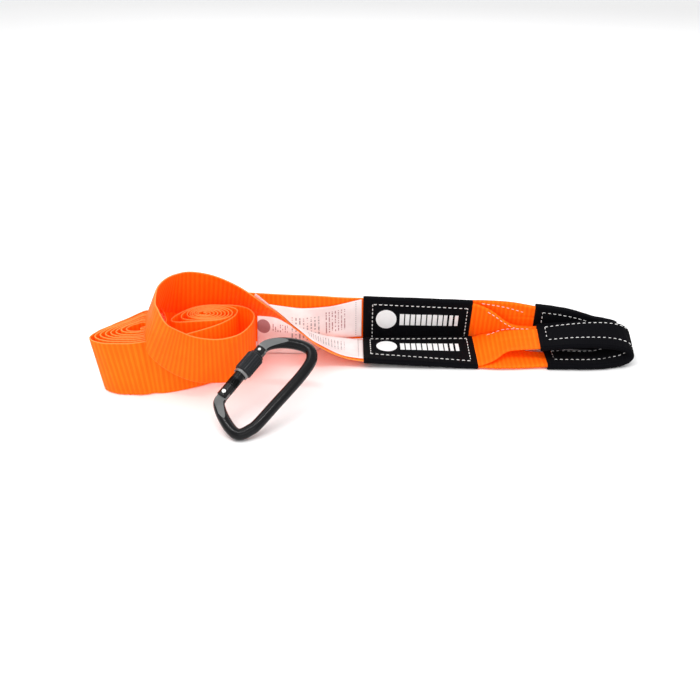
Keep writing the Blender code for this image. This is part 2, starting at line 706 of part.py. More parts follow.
def make_gate(material):
    gate = round_bar("gate", ((GATE_START, GATE_RADIUS - 0.6), (GATE_START + 0.6, GATE_RADIUS),
                              (GATE_END - 0.5, GATE_RADIUS), (GATE_END, GATE_RADIUS - 0.5)), material)
    half = SLOT_WIDTH / 2
    hinge_slot = block("hinge_slot", (GATE_START - 5.0, -CUT_REACH, -half),
                       (HINGE_SLOT_END, CUT_REACH, half), material)
    combine(gate, hinge_slot, "DIFFERENCE")
    nose_slot = block("nose_slot", (NOSE_SLOT_START, -CUT_REACH, -half),
                      (GATE_END + 5.0, CUT_REACH, half), material)
    combine(gate, nose_slot, "DIFFERENCE")
    bore = round_bar("spring_bore", ((HINGE_SLOT_END - 4.0, GATE_BORE_RADIUS),
                                     (GATE_BORE_END, GATE_BORE_RADIUS)), material, 24)
    combine(gate, bore, "DIFFERENCE")
    rivet_seat = cross_bar("rivet_seat", HINGE_X, 0.0, RIVET_RADIUS + FIT_GAP, CUT_REACH, material)
    combine(gate, rivet_seat, "DIFFERENCE")
    pin_seat = cross_bar("pin_seat", LATCH_PIN_X, 0.0, LATCH_PIN_RADIUS + FIT_GAP, CUT_REACH, material)
    combine(gate, pin_seat, "DIFFERENCE")
    return gate


def make_lock_sleeve(material):
    """A knurled barrel with a plain collar at its nose end."""
    sides = KNURL_COUNT * 4
    bore = GATE_RADIUS + FIT_GAP

    def knurled(x, depth):
        ring = []
        for step in range(sides):
            angle = 2 * math.pi * step / sides
            radius = SLEEVE_RADIUS - (depth if step % 4 in (0, 3) else 0.0)
            ring.append(Vector((x, radius * math.cos(angle), radius * math.sin(angle))))
        return ring

    def plain(x, radius):
        angles = [2 * math.pi * step / sides for step in range(sides)]
        return [Vector((x, radius * math.cos(a), radius * math.sin(a))) for a in angles]

    rings = [
        plain(SLEEVE_START, SLEEVE_RADIUS - 0.9),
        plain(SLEEVE_START + 0.6, SLEEVE_RADIUS - KNURL_DEPTH - 0.1),
        knurled(SLEEVE_START + 1.0, KNURL_DEPTH),
        knurled(SLEEVE_END - 0.8, KNURL_DEPTH),
        plain(SLEEVE_END - 0.4, SLEEVE_RADIUS - KNURL_DEPTH - 0.1),
        plain(SLEEVE_END, SLEEVE_RADIUS - 0.9),
        plain(SLEEVE_END + 0.2, COLLAR_RADIUS),
        plain(COLLAR_END - 0.3, COLLAR_RADIUS),
        plain(COLLAR_END, COLLAR_RADIUS - 0.3),
        plain(COLLAR_END, bore),
        plain(SLEEVE_START, bore),
    ]
    points = [on_carabiner(p) for ring in rings for p in ring]
    faces = []
    for ring in range(len(rings)):
        for side in range(sides):
            after = (side + 1) % sides
            low, high = ring * sides, (ring + 1) % len(rings) * sides
            faces.append((low + side, low + after, high + after, high + side))
    return object_from("lock_sleeve", points, faces, material, smooth=True)


def make_spring(material, start, end):
    """A closed-ended helix of round wire inside the gate's bore."""
    steps = SPRING_TURNS * 14
    rings = []
    for step in range(steps + 1):
        share = step / steps
        angle = 2 * math.pi * SPRING_TURNS * share
        outward = Vector((0.0, math.cos(angle), math.sin(angle)))
        centre = Vector((start + (end - start) * share, 0.0, 0.0)) + outward * SPRING_RADIUS
        ring = []
        for side in range(6):
            turn = 2 * math.pi * side / 6
            offset = outward * math.cos(turn) + Vector((1.0, 0.0, 0.0)) * math.sin(turn)
            ring.append(centre + offset * SPRING_WIRE_RADIUS)
        rings.append(ring)
    return skin("gate_spring", rings, material, on_carabiner, smooth=True)


def build():
    clear_scene()
    webbing = make_material("orange_webbing", (0.95, 0.19, 0.015), 0.75)
    cover = make_material("black_cover_fabric", (0.012, 0.012, 0.014), 0.85)
    tape = make_material("white_label_tape", (0.86, 0.80, 0.80), 0.6)
    thread = make_material("white_thread", (0.85, 0.84, 0.82), 0.7)
    black = make_material("black_anodised_aluminium", (0.02, 0.021, 0.023), 0.28, 1.0)
    sleeve_metal = make_material("dark_grey_anodised_aluminium", (0.05, 0.055, 0.06), 0.5, 1.0)
    steel = make_material("bright_steel", (0.62, 0.62, 0.6), 0.3, 1.0)

    flat_run("web_front_run", FRONT_RUN, webbing)
    upright_prism("right_roll", right_roll_outline(), webbing)
    flat_run("web_link_band", LINK_BAND, webbing)
    upright_prism("left_roll", left_roll_outline(), webbing)
    flat_run("web_back_run", BACK_RUN, webbing)

    flat_run("front_wrap_patch", FRONT_PATCH, cover, PATCH_WIDTH, PATCH_STACK, 25.0)
    flat_run("back_wrap_patch", BACK_PATCH, cover, PATCH_WIDTH, PATCH_STACK, 25.0)
    patch_seam("front_patch_seam", FRONT_PATCH, thread, SEAM_INSET, SEAM_INSET,
               Vector((0.0, 0.0, 1.0)))
    patch_seam("back_patch_seam", BACK_PATCH, thread, SEAM_INSET, BACK_SEAM_LOWER_INSET,
               Vector((0.0, -1.0, 0.2)))
    eye_web("front_eye_web", FRONT_EYE, webbing)
    eye_sleeve("front_eye_sleeve", FRONT_EYE, cover, FRONT_SLEEVE_FROM)
    eye_web("back_eye_web", BACK_EYE, webbing)
    eye_sleeve("back_eye_sleeve", BACK_EYE, cover, BACK_SLEEVE_FROM)
    flat_run("front_label_tape", FRONT_TAPE, tape, TAPE_WIDTH, FOLDED_TAPE_THICKNESS)
    back_tape("back_label_tape", tape)

    body = make_body(black)
    middle = on_carabiner((0.0, 0.0, 0.0))
    hinge = on_carabiner((HINGE_X, 0.0, 0.0))
    set_origin(body, middle)
    set_origin(make_gate(black), hinge)
    rivet = cross_bar("gate_rivet", HINGE_X, 0.0, RIVET_RADIUS, GATE_RADIUS - 0.1, steel)
    set_origin(rivet, hinge)
    pin = cross_bar("latch_pin", LATCH_PIN_X, 0.0, LATCH_PIN_RADIUS, GATE_RADIUS - 0.2, steel)
    set_origin(pin, hinge)
    tip = HINGE_X + TONGUE_END_RADIUS + 0.4
    plunger = round_bar("spring_plunger", ((tip, PLUNGER_TIP_RADIUS),
                                           (HINGE_SLOT_END - PLUNGER_SHOULDER, PLUNGER_RADIUS),
                                           (HINGE_SLOT_END + PLUNGER_TAIL, PLUNGER_RADIUS)), steel, 20)
    set_origin(plunger, hinge)
    spring_start = HINGE_SLOT_END + PLUNGER_TAIL + 0.8
    set_origin(make_spring(steel, spring_start, GATE_BORE_END - 0.8), hinge)
    set_origin(make_lock_sleeve(sleeve_metal), middle)
    ring = round_bar("sleeve_ring", ((RING_START, RING_RADIUS - RING_EDGE),
                                     (RING_START + RING_EDGE, RING_RADIUS),
                                     (RING_END - RING_EDGE, RING_RADIUS),
                                     (RING_END, RING_RADIUS - RING_EDGE)),
                     steel, 32, GATE_RADIUS + FIT_GAP + 0.05)
    set_origin(ring, middle)


build()
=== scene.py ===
"""Looks for the recovery strap: one continuous length of webbing, its sewn eyes and a carabiner.

Lengths are millimetres in the layout's own coordinates until a mesh is made. The routes repeat
the part's own points.
"""
import math

import bmesh
import bpy
import numpy as np
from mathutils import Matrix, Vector


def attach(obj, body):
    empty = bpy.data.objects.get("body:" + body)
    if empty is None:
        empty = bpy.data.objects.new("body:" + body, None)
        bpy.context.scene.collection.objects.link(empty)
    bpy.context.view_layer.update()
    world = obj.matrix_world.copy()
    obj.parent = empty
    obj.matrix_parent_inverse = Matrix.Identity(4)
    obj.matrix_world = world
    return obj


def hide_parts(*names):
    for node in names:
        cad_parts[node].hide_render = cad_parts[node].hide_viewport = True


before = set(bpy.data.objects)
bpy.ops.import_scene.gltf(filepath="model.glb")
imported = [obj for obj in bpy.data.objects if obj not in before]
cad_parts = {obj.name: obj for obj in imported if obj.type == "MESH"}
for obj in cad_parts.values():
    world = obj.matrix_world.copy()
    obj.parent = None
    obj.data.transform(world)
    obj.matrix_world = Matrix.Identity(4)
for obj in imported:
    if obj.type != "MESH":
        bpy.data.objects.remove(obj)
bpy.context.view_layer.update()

MM = 0.001
FOOTPRINT_MIDDLE = np.array((20.2, -62.8, 0.0))

# Webbing
WEB_HALF_WIDTH = 25.0
WEB_HALF_THICKNESS = 0.58
RIB_PITCH = 4.2
RIB_HEIGHT = 0.22
STATIONS_PER_RIB = 6

# Sewn parts
PATCH_WIDTH = 50.8
PATCH_THICKNESS = 5.0
PATCH_CORNER = 1.6
SECTION_SPACING = 0.9
SLEEVE_WIDTH = 27.6
SLEEVE_THICKNESS = 6.0
SLEEVE_CORNER = 1.7
SLEEVE_LINING = (0.7, 0.6, 1.2)        # in from each edge, in from each face, corner
EYE_THICKNESS = 3.1
# Where each sleeve's two long seams lie across it, and how far its end seams are from its ends.
SLEEVE_SEAMS = {"front_sleeve": (-11.2, 4.6), "back_sleeve": (-9.0, 7.6)}
SLEEVE_END_SEAM = 7.0
SEAM_DENT = 0.35
TAPE_WIDTH = 45.0
TAPE_THICKNESS = 0.45
TAPE_CLEARANCE = 0.15
STITCH_LENGTH = 3.3
STITCH_GAP = 1.5
STITCH_RADIUS = 0.42
SLEEVE_STITCHES = (3.0, 1.8, 0.36)     # length, gap and radius
EYE_STITCH_SIZE = (3.0, 1.6, 0.3)
TAPE_STITCHES = (1.1, 1.2, 0.32)

# Carabiner
STOCK_RADIUS = 4.65
HINGE_X = -24.2
GATE_START = -28.2
GATE_END = 26.4
GATE_RADIUS = 4.85
HINGE_SLOT_END = -17.0
NOSE_SLOT_START = 17.6
SLOT_WIDTH = 4.8
RIVET_RADIUS = 1.6
LATCH_PIN_X = 23.0
LATCH_PIN_RADIUS = 1.2
FIT_GAP = 0.3
CARABINER_ORIGIN = np.array((-86.9, -97.9, 32.9))
CARABINER_LEAN = math.radians(30.0)
CARABINER_TURN = math.radians(56.0)
GATE_GROOVES = (-10.0, -15.6)
HINGE_FLAT_FROM = (-30.0, -1.0)
HINGE_FLAT_HEADING = 236.0
NOSE_FLAT_FROM = (30.0, -1.0)
NOSE_FLAT_HEADING = -52.0
FLAT_LOW = 2.3
FLAT_TOP = 8.0
FLAT_LEVEL = 1.0
FLAT_LENGTH = 19.0
FLAT_HALF_WIDTH = 6.0
CUT_REACH = 9.0            # how far a cutter passes the stock
STOCK_SIDES = 48
SWING_ROOM_RADIUS = 6.8
NOSE_ROOM_START = 15.0
NOSE_ROOM_GAP = 0.5
TONGUE_HALF = 2.0
TONGUE_END_RADIUS = 4.0
PIN_SEAT_RADIUS = 1.5
PIN_SEAT_MOUTH = 1.8       # half its width where it opens
GATE_EDGE = 0.6
GROOVE_HALF = 0.9
GROOVE_DEPTH = 0.45
BORE_RADIUS = 2.3
BORE_END = 4.0

# Screw barrel
KNURLS = 22
KNURL_DEPTH = 0.5
BARREL_START = -0.8
BARREL_RADIUS = 7.35
BARREL_BORE = 5.15
COLLAR_RADIUS = 6.0
COLLAR_END = 19.3
BARREL_RING_STEP = 0.8

# Stitched boxes: along from and to, across from and to, and how far the last side slants.
FRONT_SEAM = (6.5, 95.0, -20.0, 13.5, 5.5)
BACK_SEAM = (8.6, 94.0, -23.0, 18.6, -1.0)
FRONT_PATCH_FACE = -1
BACK_PATCH_FACE = 1
# Middle across the patch, height of the blocks, and the disc's radius across.
MARK_PLACES = {"front_patch_marks": (-3.6, 12.6, 10.6), "back_patch_marks": (1.0, 13.8, 11.4)}
MARK_DISC_ALONG = 21.2
MARK_DISC_RADIUS = 9.4
MARK_BLOCKS = 11
MARK_BLOCKS_FROM = 33.5
MARK_BLOCK_PITCH = 5.0
WIDE_BLOCKS = 8
WIDE_BLOCK = 0.78          # share of the pitch
NARROW_BLOCK = 0.62
MARK_SUNK = 0.3
MARK_PROUD = 0.22

# Small print on the tapes: ((along from, to, across from, to), line pitch, ink).
GREY_INK = (0.16, 0.14, 0.15, 1)
RED_INK = (0.24, 0.015, 0.03, 1)
FRONT_PRINT = (((17.0, 60.0, -12.0, 12.0), 3.1, GREY_INK),)
BACK_PRINT = (
    ((14.0, 34.0, 6.0, 30.0), 2.8, RED_INK), ((38.0, 64.0, 9.0, 30.0), 3.4, GREY_INK),
    ((67.0, 81.0, 17.0, 24.0), 2.2, RED_INK),
)
BACK_DISC = (89.0, 20.5, 6.2)
BACK_TAPE_SEAM_ROW = 5

# Stitching on the eyes' folds: (along from, to), (across from, to), lift off the middle.
# A negative distance is measured back from the eye's second end.
EYE_STITCHES = {
    "front": (((-26.0, -72.0), (-17.5, -10.5), 1.5),),
    "back": (((19.0, 60.0), (19.5, 4.5), 1.5), ((-25.0, -52.0), (17.5, 11.5), -1.5)),
}

# Studio
FLOOR = -0.0002
FLOOR_REACH = 14.0
CAMERA_FROM = (-0.0202, -0.7193, 0.4247)
CAMERA_AT = (-0.0202, 0.0628, 0.0)
CAMERA_LENS = 50.0
WORLD_STRENGTH = 0.88
# Lights: name, place, what it looks at, size, power.
LIGHTS = (
    ("key", (-0.75, -0.15, 1.25), (0.0, 0.0, 0.0), (0.9, 0.9), 6.0),
    ("front_fill", (0.35, -1.5, 0.8), (0.0, 0.0, 0.02), (1.4, 0.8), 4.0),
    ("strip", (-0.15, -0.35, 1.05), (-0.1, 0.0, 0.0), (0.9, 0.03), 3.5),
    ("rim", (0.2, 1.4, 0.9), (0.0, 0.0, 0.0), (1.6, 0.6), 7.0),
)

# (middle, across) down the front run, from inside the patch to the right roll.
FRONT_RUN = (
    ((30.0, -9.2, 4.5), (0.0, -0.997, 0.08)),
    ((11.5, -8.6, 4.7), (0.0, -0.996, 0.09)),
    ((-4.0, -8.5, 6.5), (0.02, -0.99, 0.13)),
    ((-19.0, -10.5, 12.0), (0.04, -0.98, 0.20)),
    ((-32.5, -17.7, 21.8), (0.06, -0.95, 0.29)),
    ((-42.0, -23.0, 31.0), (0.08, -0.92, 0.37)),
    ((-52.5, -27.0, 40.0), (0.10, -0.90, 0.43)),
    ((-62.0, -26.0, 47.8), (0.12, -0.87, 0.49)),
    ((-73.5, -22.0, 50.5), (0.14, -0.80, 0.58)),
    ((-85.5, -14.5, 51.5), (0.16, -0.70, 0.70)),
    ((-99.0, -6.0, 52.0), (0.16, -0.55, 0.82)),
    ((-116.0, 0.0, 53.0), (0.14, -0.35, 0.93)),
    ((-128.0, 2.0, 54.0), (0.12, -0.24, 0.96)),
    ((-142.0, 0.0, 56.0), (0.10, -0.18, 0.98)),
    ((-154.0, -7.0, 60.6), (0.20, -0.36, 0.91)),
    ((-159.9, -20.9, 65.7), (0.33, -0.36, 0.87)),
    ((-162.9, -30.3, 66.8), (0.33, -0.34, 0.88)),
    ((-166.0, -46.0, 71.0), (0.36, -0.48, 0.80)),
    ((-163.8, -63.5, 71.5), (0.315, -0.47, 0.81)),
    ((-161.5, -80.8, 71.7), (0.33, -0.50, 0.79)),
    ((-158.3, -90.0, 71.0), (0.32, -0.41, 0.84)),
    ((-156.6, -95.0, 66.0), (0.38, -0.40, 0.83)),
    ((-152.0, -96.0, 59.0), (0.36, -0.39, 0.84)),
    ((-142.0, -87.0, 45.0), (0.26, -0.28, 0.92)),
    ((-128.5, -79.5, 34.0), (0.12, -0.22, 0.97)),
    ((-112.0, -69.0, 26.5), (0.04, -0.24, 0.97)),
    ((-99.0, -63.5, 25.2), (0.0, -0.22, 0.975)),
    ((-91.5, -57.0, 25.0), (0.02, -0.19, 0.98)),
    ((-86.0, -45.0, 25.0), (0.05, -0.12, 0.99)),
    ((-83.0, -32.0, 25.0), (0.03, -0.04, 1.0)),
    ((-84.5, -22.0, 25.0), (0.0, 0.0, 1.0)),
    ((-90.0, -14.0, 25.0), (0.0, 0.0, 1.0)),
    ((-99.0, -9.3, 25.0), (0.0, 0.0, 1.0)),
    ((-107.0, -8.0, 25.0), (0.0, 0.0, 1.0)),
)
LINK_BAND = (
    ((-108.0, -10.8, 25.0), (0.0, 0.0, 1.0)),
    ((-101.5, -13.5, 25.0), (0.0, 0.0, 1.0)),
    ((-98.0, -20.0, 25.0), (0.0, 0.05, 1.0)),
    ((-99.5, -31.0, 25.0), (0.0, 0.10, 0.99)),
    ((-106.0, -43.0, 25.0), (0.0, 0.16, 0.98)),
    ((-116.0, -53.0, 25.0), (0.0, 0.16, 0.98)),
    ((-130.0, -62.5, 25.0), (-0.02, 0.12, 0.99)),
    ((-147.0, -72.0, 25.0), (-0.04, 0.04, 1.0)),
    ((-160.0, -77.0, 25.0), (-0.03, 0.0, 1.0)),
)
BACK_RUN = (
    ((-157.1, -44.0, 25.0), (0.0, 0.0, 1.0)),
    ((-157.8, -36.0, 25.0), (0.0, 0.0, 1.0)),
    ((-161.5, -24.0, 25.0), (0.0, 0.0, 1.0)),
    ((-168.0, -11.0, 25.0), (0.0, 0.0, 1.0)),
    ((-171.5, 2.0, 25.0), (0.0, 0.0, 1.0)),
    ((-166.0, 14.0, 25.0), (0.0, 0.0, 1.0)),
    ((-152.0, 21.0, 25.0), (0.0, 0.0, 1.0)),
    ((-130.0, 22.0, 25.0), (0.0, 0.0, 1.0)),
    ((-100.0, 18.5, 25.0), (0.0, 0.0, 1.0)),
    ((-62.0, 14.5, 25.0), (0.0, -0.04, 1.0)),
    ((-30.0, 14.3, 25.0), (0.0, -0.13, 0.99)),
    ((-10.0, 15.3, 24.6), (0.0, -0.23, 0.973)),
    ((11.5, 15.6, 24.5), (0.0, -0.27, 0.963)),
    ((30.0, 14.9, 24.9), (0.0, -0.29, 0.957)),
)

ROLL_UNEVENNESS = 0.9
HAIRPIN_BULGE = 1.4
RUN_SOFTNESS = 3.5

# Rolls: reach of the outermost turn from the middle, by direction in degrees.
LEFT_ROLL_MIDDLE = np.array((-177.0, -49.0))
LEFT_ROLL_REACH = (
    (0, 20.5), (30, 21.5), (55, 24.0), (75, 30.0), (90, 32.0), (103, 27.0),
    (120, 22.3), (150, 20.5), (180, 25.0), (198, 35.2), (210, 42.4), (230, 39.0),
    (250, 33.5), (270, 31.5), (290, 29.8), (310, 26.5), (330, 22.5),
)
LAYERS_IN_ROLL = 9
TURNS_IN = 4
LEFT_ROLL_STARTS = 290
LEFT_ROLL_LEAVES = 365
LEFT_LEAN = 0.16
LEFT_LEAN_DIRECTION = 225.0
RIGHT_ROLL_MIDDLE = np.array((-121.0, -25.0))
RIGHT_ROLL_HEART = np.array((-127.5, -25.7))
RIGHT_ROLL_HALF = np.array((24.0, 17.0))
RIGHT_ROLL_HEART_HALF = np.array((2.2, 1.6))
RIGHT_ROLL_STARTS = 75
RIGHT_TIP_DIRECTION = 205.0
RIGHT_TIP_SHIFT = np.array((-12.8, -11.2))

FRONT_PATCH = (
    ((12.0, -8.7, 4.9), (0.0, -0.996, 0.09)),
    ((62.0, -10.0, 4.3), (0.0, -1.0, 0.02)),
    ((113.0, -11.4, 4.1), (0.0, -0.998, -0.06)),
)
BACK_PATCH = (
    ((12.0, 15.6, 25.3), (0.0, -0.27, 0.963)),
    ((60.0, 13.8, 25.1), (0.0, -0.32, 0.947)),
    ((110.0, 12.0, 25.0), (0.0, -0.38, 0.925)),
)

# Eyes: (middle, across, width).
FRONT_EYE = (
    ((100.0, -11.2, 3.2), (0.0, -0.998, -0.02), 49.6),
    ((114.0, -11.6, 2.2), (0.0, -0.998, -0.02), 49.0),
    ((130.0, -17.2, 2.3), (0.0, -1.0, 0.0), 41.0),
    ((150.0, -21.0, 2.4), (0.0, -1.0, 0.0), 32.0),
    ((170.0, -23.4, 3.1), (0.0, -1.0, 0.0), 24.6),
    ((192.0, -24.6, 3.4), (0.0, -1.0, 0.0), 24.0),
    ((218.0, -24.2, 3.4), (0.0, -1.0, 0.0), 24.0),
    ((234.0, -21.2, 5.2), (0.0, -0.985, -0.15), 24.0),
    ((244.6, -19.4, 8.6), (0.0, -0.955, -0.28), 24.0),
    ((249.0, -17.8, 13.8), (0.0, -0.91, -0.42), 24.0),
    ((245.0, -16.8, 19.8), (0.0, -0.88, -0.48), 24.0),
    ((234.0, -16.2, 23.2), (0.0, -0.87, -0.50), 24.0),
    ((218.0, -16.2, 24.2), (0.0, -0.88, -0.46), 24.0),
    ((195.0, -16.8, 23.4), (0.0, -0.93, -0.37), 24.0),
    ((172.0, -16.6, 20.6), (0.0, -0.95, -0.30), 24.4),
    ((150.0, -11.4, 16.4), (0.0, -0.97, -0.24), 26.3),
    ((139.0, -8.8, 13.4), (0.0, -0.98, -0.20), 29.0),
    ((130.0, -10.9, 10.2), (0.0, -0.985, -0.16), 38.5),
    ((121.0, -11.2, 7.4), (0.0, -0.99, -0.11), 46.5),
    ((113.0, -11.2, 4.9), (0.0, -0.997, -0.07), 49.0),
    ((100.0, -11.0, 4.4), (0.0, -0.997, -0.06), 49.6),
)
BACK_EYE = (
    ((100.0, 13.4, 25.2), (0.0, -0.37, 0.93), 49.6),
    ((111.0, 15.0, 25.4), (0.0, -0.38, 0.925), 49.0),
    ((126.0, 14.4, 27.2), (0.0, -0.34, 0.94), 42.0),
    ((146.0, 12.4, 29.2), (0.0, -0.28, 0.96), 33.0),
    ((168.0, 10.2, 29.0), (0.0, -0.20, 0.98), 24.0),
    ((190.0, 9.0, 25.8), (-0.02, -0.10, 0.99), 24.0),
    ((208.0, 8.4, 21.4), (-0.06, 0.0, 0.99), 24.0),
    ((222.0, 7.8, 17.0), (-0.12, 0.02, 0.99), 24.0),
    ((235.0, 6.4, 15.0), (-0.20, 0.02, 0.97), 24.0),
    ((243.0, 3.4, 14.4), (-0.24, 0.0, 0.97), 24.0),
    ((235.0, 0.6, 14.4), (-0.20, 0.0, 0.98), 24.0),
    ((220.0, 0.4, 14.3), (-0.10, 0.0, 0.99), 24.0),
    ((204.0, 1.4, 14.2), (-0.03, 0.0, 1.0), 24.0),
    ((186.0, 4.4, 13.6), (0.0, -0.3, 0.95), 24.0),
    ((166.0, 6.6, 12.6), (0.0, -0.48, 0.88), 24.0),
    ((146.0, 9.6, 12.8), (0.0, -0.50, 0.87), 27.0),
    ((128.0, 10.2, 19.8), (0.0, -0.34, 0.94), 39.0),
    ((111.0, 11.1, 24.8), (0.0, -0.38, 0.925), 47.0),
    ((100.0, 12.2, 25.2), (0.0, -0.37, 0.93), 48.0),
)
# The x where each sleeve starts on the eye's first leg and ends on its second.
FRONT_SLEEVE_FROM = (174.0, 168.0)
BACK_SLEEVE_FROM = (167.0, 168.0)

# The front tape lies on the front run between two x, and slips past its upper edge at the free end.
FRONT_TAPE_FROM_X = 12.2
FRONT_TAPE_TO_X = -86.0
FRONT_TAPE_SHIFT = 7.5
FRONT_TAPE_SHIFT_FROM_X = -20.0
FRONT_TAPE_SHIFT_OVER = 50.0
FRONT_TAPE_SEAM = 4.5
# The back tape: x, then (y, z) down the tape from its upper edge.
BACK_TAPE = (
    (10.5, ((6.6, 48.2), (10.3, 34.6), (14.1, 20.8), (18.6, 4.6))),
    (-8.0, ((8.9, 42.1), (11.8, 29.2), (14.7, 16.1), (17.5, 3.0))),
    (-18.0, ((9.5, 39.4), (12.9, 24.0), (16.4, 8.5), (15.4, 1.5))),
    (-26.0, ((9.7, 38.6), (13.3, 14.5), (12.0, 3.6), (5.0, 0.9))),
    (-34.0, ((9.4, 38.0), (8.6, 15.6), (2.0, 6.4), (-6.0, 0.9))),
    (-46.0, ((11.0, 36.9), (4.9, 24.8), (-1.2, 12.8), (-7.3, 0.9))),
    (-84.0, ((13.5, 41.5), (6.8, 27.5), (0.2, 14.0), (-6.3, 0.9))),
)

# Carabiner stock from the hinge to the nose, and its two tongues, in the carabiner's own plane.
BODY_ROUTE = (
    (-29.5, -0.6), (-34.2, -2.2), (-40.1, -9.8), (-45.3, -20.1), (-47.4, -28.2), (-45.7, -32.9),
    (-39.3, -36.3), (-31.6, -38.4), (-8.5, -39.7), (18.8, -41.2), (34.6, -40.8), (42.7, -38.4),
    (47.0, -33.7), (47.4, -26.9), (44.8, -18.4), (40.1, -9.8), (34.2, -3.2), (29.4, -0.4), (25.0, 0.0),
)
HINGE_TONGUE_ROOT = [(-32.0, 3.0), (-36.0, -2.0), (-35.0, -5.0), (-31.0, -5.0)]
NOSE_TONGUE = (
    (20.0, -2.6), (20.8, -3.7), (30.0, -3.9), (31.0, 2.8), (28.0, 3.9), (20.8, 3.9), (20.0, 2.8),
)


# ---------------------------------------------------------------- routes

def smooth_points(points, places):
    """Catmull-Rom values at places, counted in rows."""
    points = np.asarray(points, float)
    last = len(points) - 1
    start = np.minimum(places.astype(int), last - 1)
    t = (places - start)[:, None]
    padded = np.vstack((2 * points[0] - points[1], points, 2 * points[-1] - points[-2]))
    a, b, c, d = (padded[start + k] for k in range(4))
    return 0.5 * (
        2 * b + (c - a) * t + (2 * a - 5 * b + 4 * c - d) * t ** 2 + (3 * b - a - 3 * c + d) * t ** 3
    )


def normalised(vectors):
    return vectors / np.linalg.norm(vectors, axis=-1, keepdims=True)


def free_run(rows):
    """Middles and across directions of a free run, its rows blended into one easy curve."""
    middles, across = dense_rows(rows)
    columns, _ = evenly(np.hstack([middles, across]), middles, 0.5)
    columns = softened(columns, RUN_SOFTNESS / 0.5)
    return columns[:, :3], normalised(columns[:, 3:])


def dense_rows(rows, per_row=60):
    """Middles and unit across directions, closely spaced along the listed rows."""
    places = np.linspace(0, len(rows) - 1, (len(rows) - 1) * per_row + 1)
    middles = smooth_points([row[0] for row in rows], places)
    across = normalised(np.array([row[1] for row in rows]))
    return middles, normalised(smooth_points(across, places))


def lengths_along(points):
    """Travelled length at each of the points of a line."""
    return np.concatenate(([0.0], np.cumsum(np.linalg.norm(np.diff(points, axis=0), axis=1))))


def evenly(columns, points, step):
    """Columns resampled every step mm along the line through points."""
    travelled = lengths_along(points)
    count = max(2, int(round(travelled[-1] / step)) + 1)
    wanted = np.linspace(0, travelled[-1], count)
    return np.stack([np.interp(wanted, travelled, column) for column in columns.T], axis=1), wanted


def softened(columns, samples):
    """A Gaussian blur along the line that keeps its two ends."""
    reach = int(3 * samples)
    weights = np.exp(-0.5 * (np.arange(-reach, reach + 1) / samples) ** 2)
    weights /= weights.sum()
    padded = np.vstack([np.repeat(columns[:1], reach, 0), columns, np.repeat(columns[-1:], reach, 0)])
    return np.stack([np.convolve(column, weights, "valid") for column in padded.T], axis=1)


class Band:
    """Even stations along flat material: middle, across, out (its face) and travelled length."""

    def __init__(self, middles, across, step, soften=0.0, extra=None):
        columns = np.hstack([middles, across] + ([] if extra is None else [extra]))
        columns, self.travelled = evenly(columns, middles, step)
        if soften:
            columns = softened(columns, soften / step)
        self.middle = columns[:, :3]
        self.across = normalised(columns[:, 3:6])
        self.extra = columns[:, 6:]
        self.forward = normalised(np.gradient(self.middle, axis=0))
        self.out = normalised(np.cross(self.forward, self.across))
        self.length = self.travelled[-1]

    def at(self, along, across, lift):
        """Points at distances along and across the band, lifted off its middle, and the way out."""
        along, across, lift = np.broadcast_arrays(*(np.asarray(v, float) for v in (along, across, lift)))
        parts = []
        for source in (self.middle, self.across, self.out):
            parts.append(np.stack([np.interp(along, self.travelled, c) for c in source.T], axis=-1))
        middle, side, out = parts
        return middle + side * across[..., None] + out * lift[..., None], out

    def grid(self, across, lift):
        """The points of one section at every station, and their (travelled, across) in millimetres."""
        points = self.middle[:, None] + across[..., None] * self.across[:, None]
        uv = np.stack([np.broadcast_to(self.travelled[:, None], across.shape), across], axis=-1)
        return points + lift[..., None] * self.out[:, None], uv


def reach_at(degrees):
    """Smooth periodic reach of the left roll's outermost turn."""
    angles = np.array([row[0] for row in LEFT_ROLL_REACH], float)
    values = np.array([row[1] for row in LEFT_ROLL_REACH], float)
    angles = np.concatenate((angles[-2:] - 360, angles, angles[:2] + 360))
    values = np.concatenate((values[-2:], values, values[:2]))
    fine = np.linspace(0, 360, 721)
    row = np.interp(fine, angles, np.arange(len(angles)))
    table = smooth_points(values[:, None], row)[:, 0]
    return np.interp(np.mod(degrees, 360), fine, table)


def left_roll(degrees, layer):
    """Middle and across in the left roll, layer turns in from its outside."""
    angle = np.radians(degrees)
    heart = 3 + 3 * np.cos(angle - math.radians(40)) ** 2
    outer = reach_at(degrees)
    reach = outer + (heart - outer) * layer / LAYERS_IN_ROLL
    points = np.stack([
        LEFT_ROLL_MIDDLE[0] + reach * np.cos(angle),
        LEFT_ROLL_MIDDLE[1] + reach * np.sin(angle),
        np.full_like(angle, WEB_HALF_WIDTH),
    ], axis=1)
    facing = np.clip(np.cos(angle - math.radians(LEFT_LEAN_DIRECTION)), 0, 1)
    lean = LEFT_LEAN * facing * (1 - layer / LAYERS_IN_ROLL)
    across = np.stack([-lean, -0.15 * lean, np.ones_like(lean)], axis=1)
    return points, normalised(across)


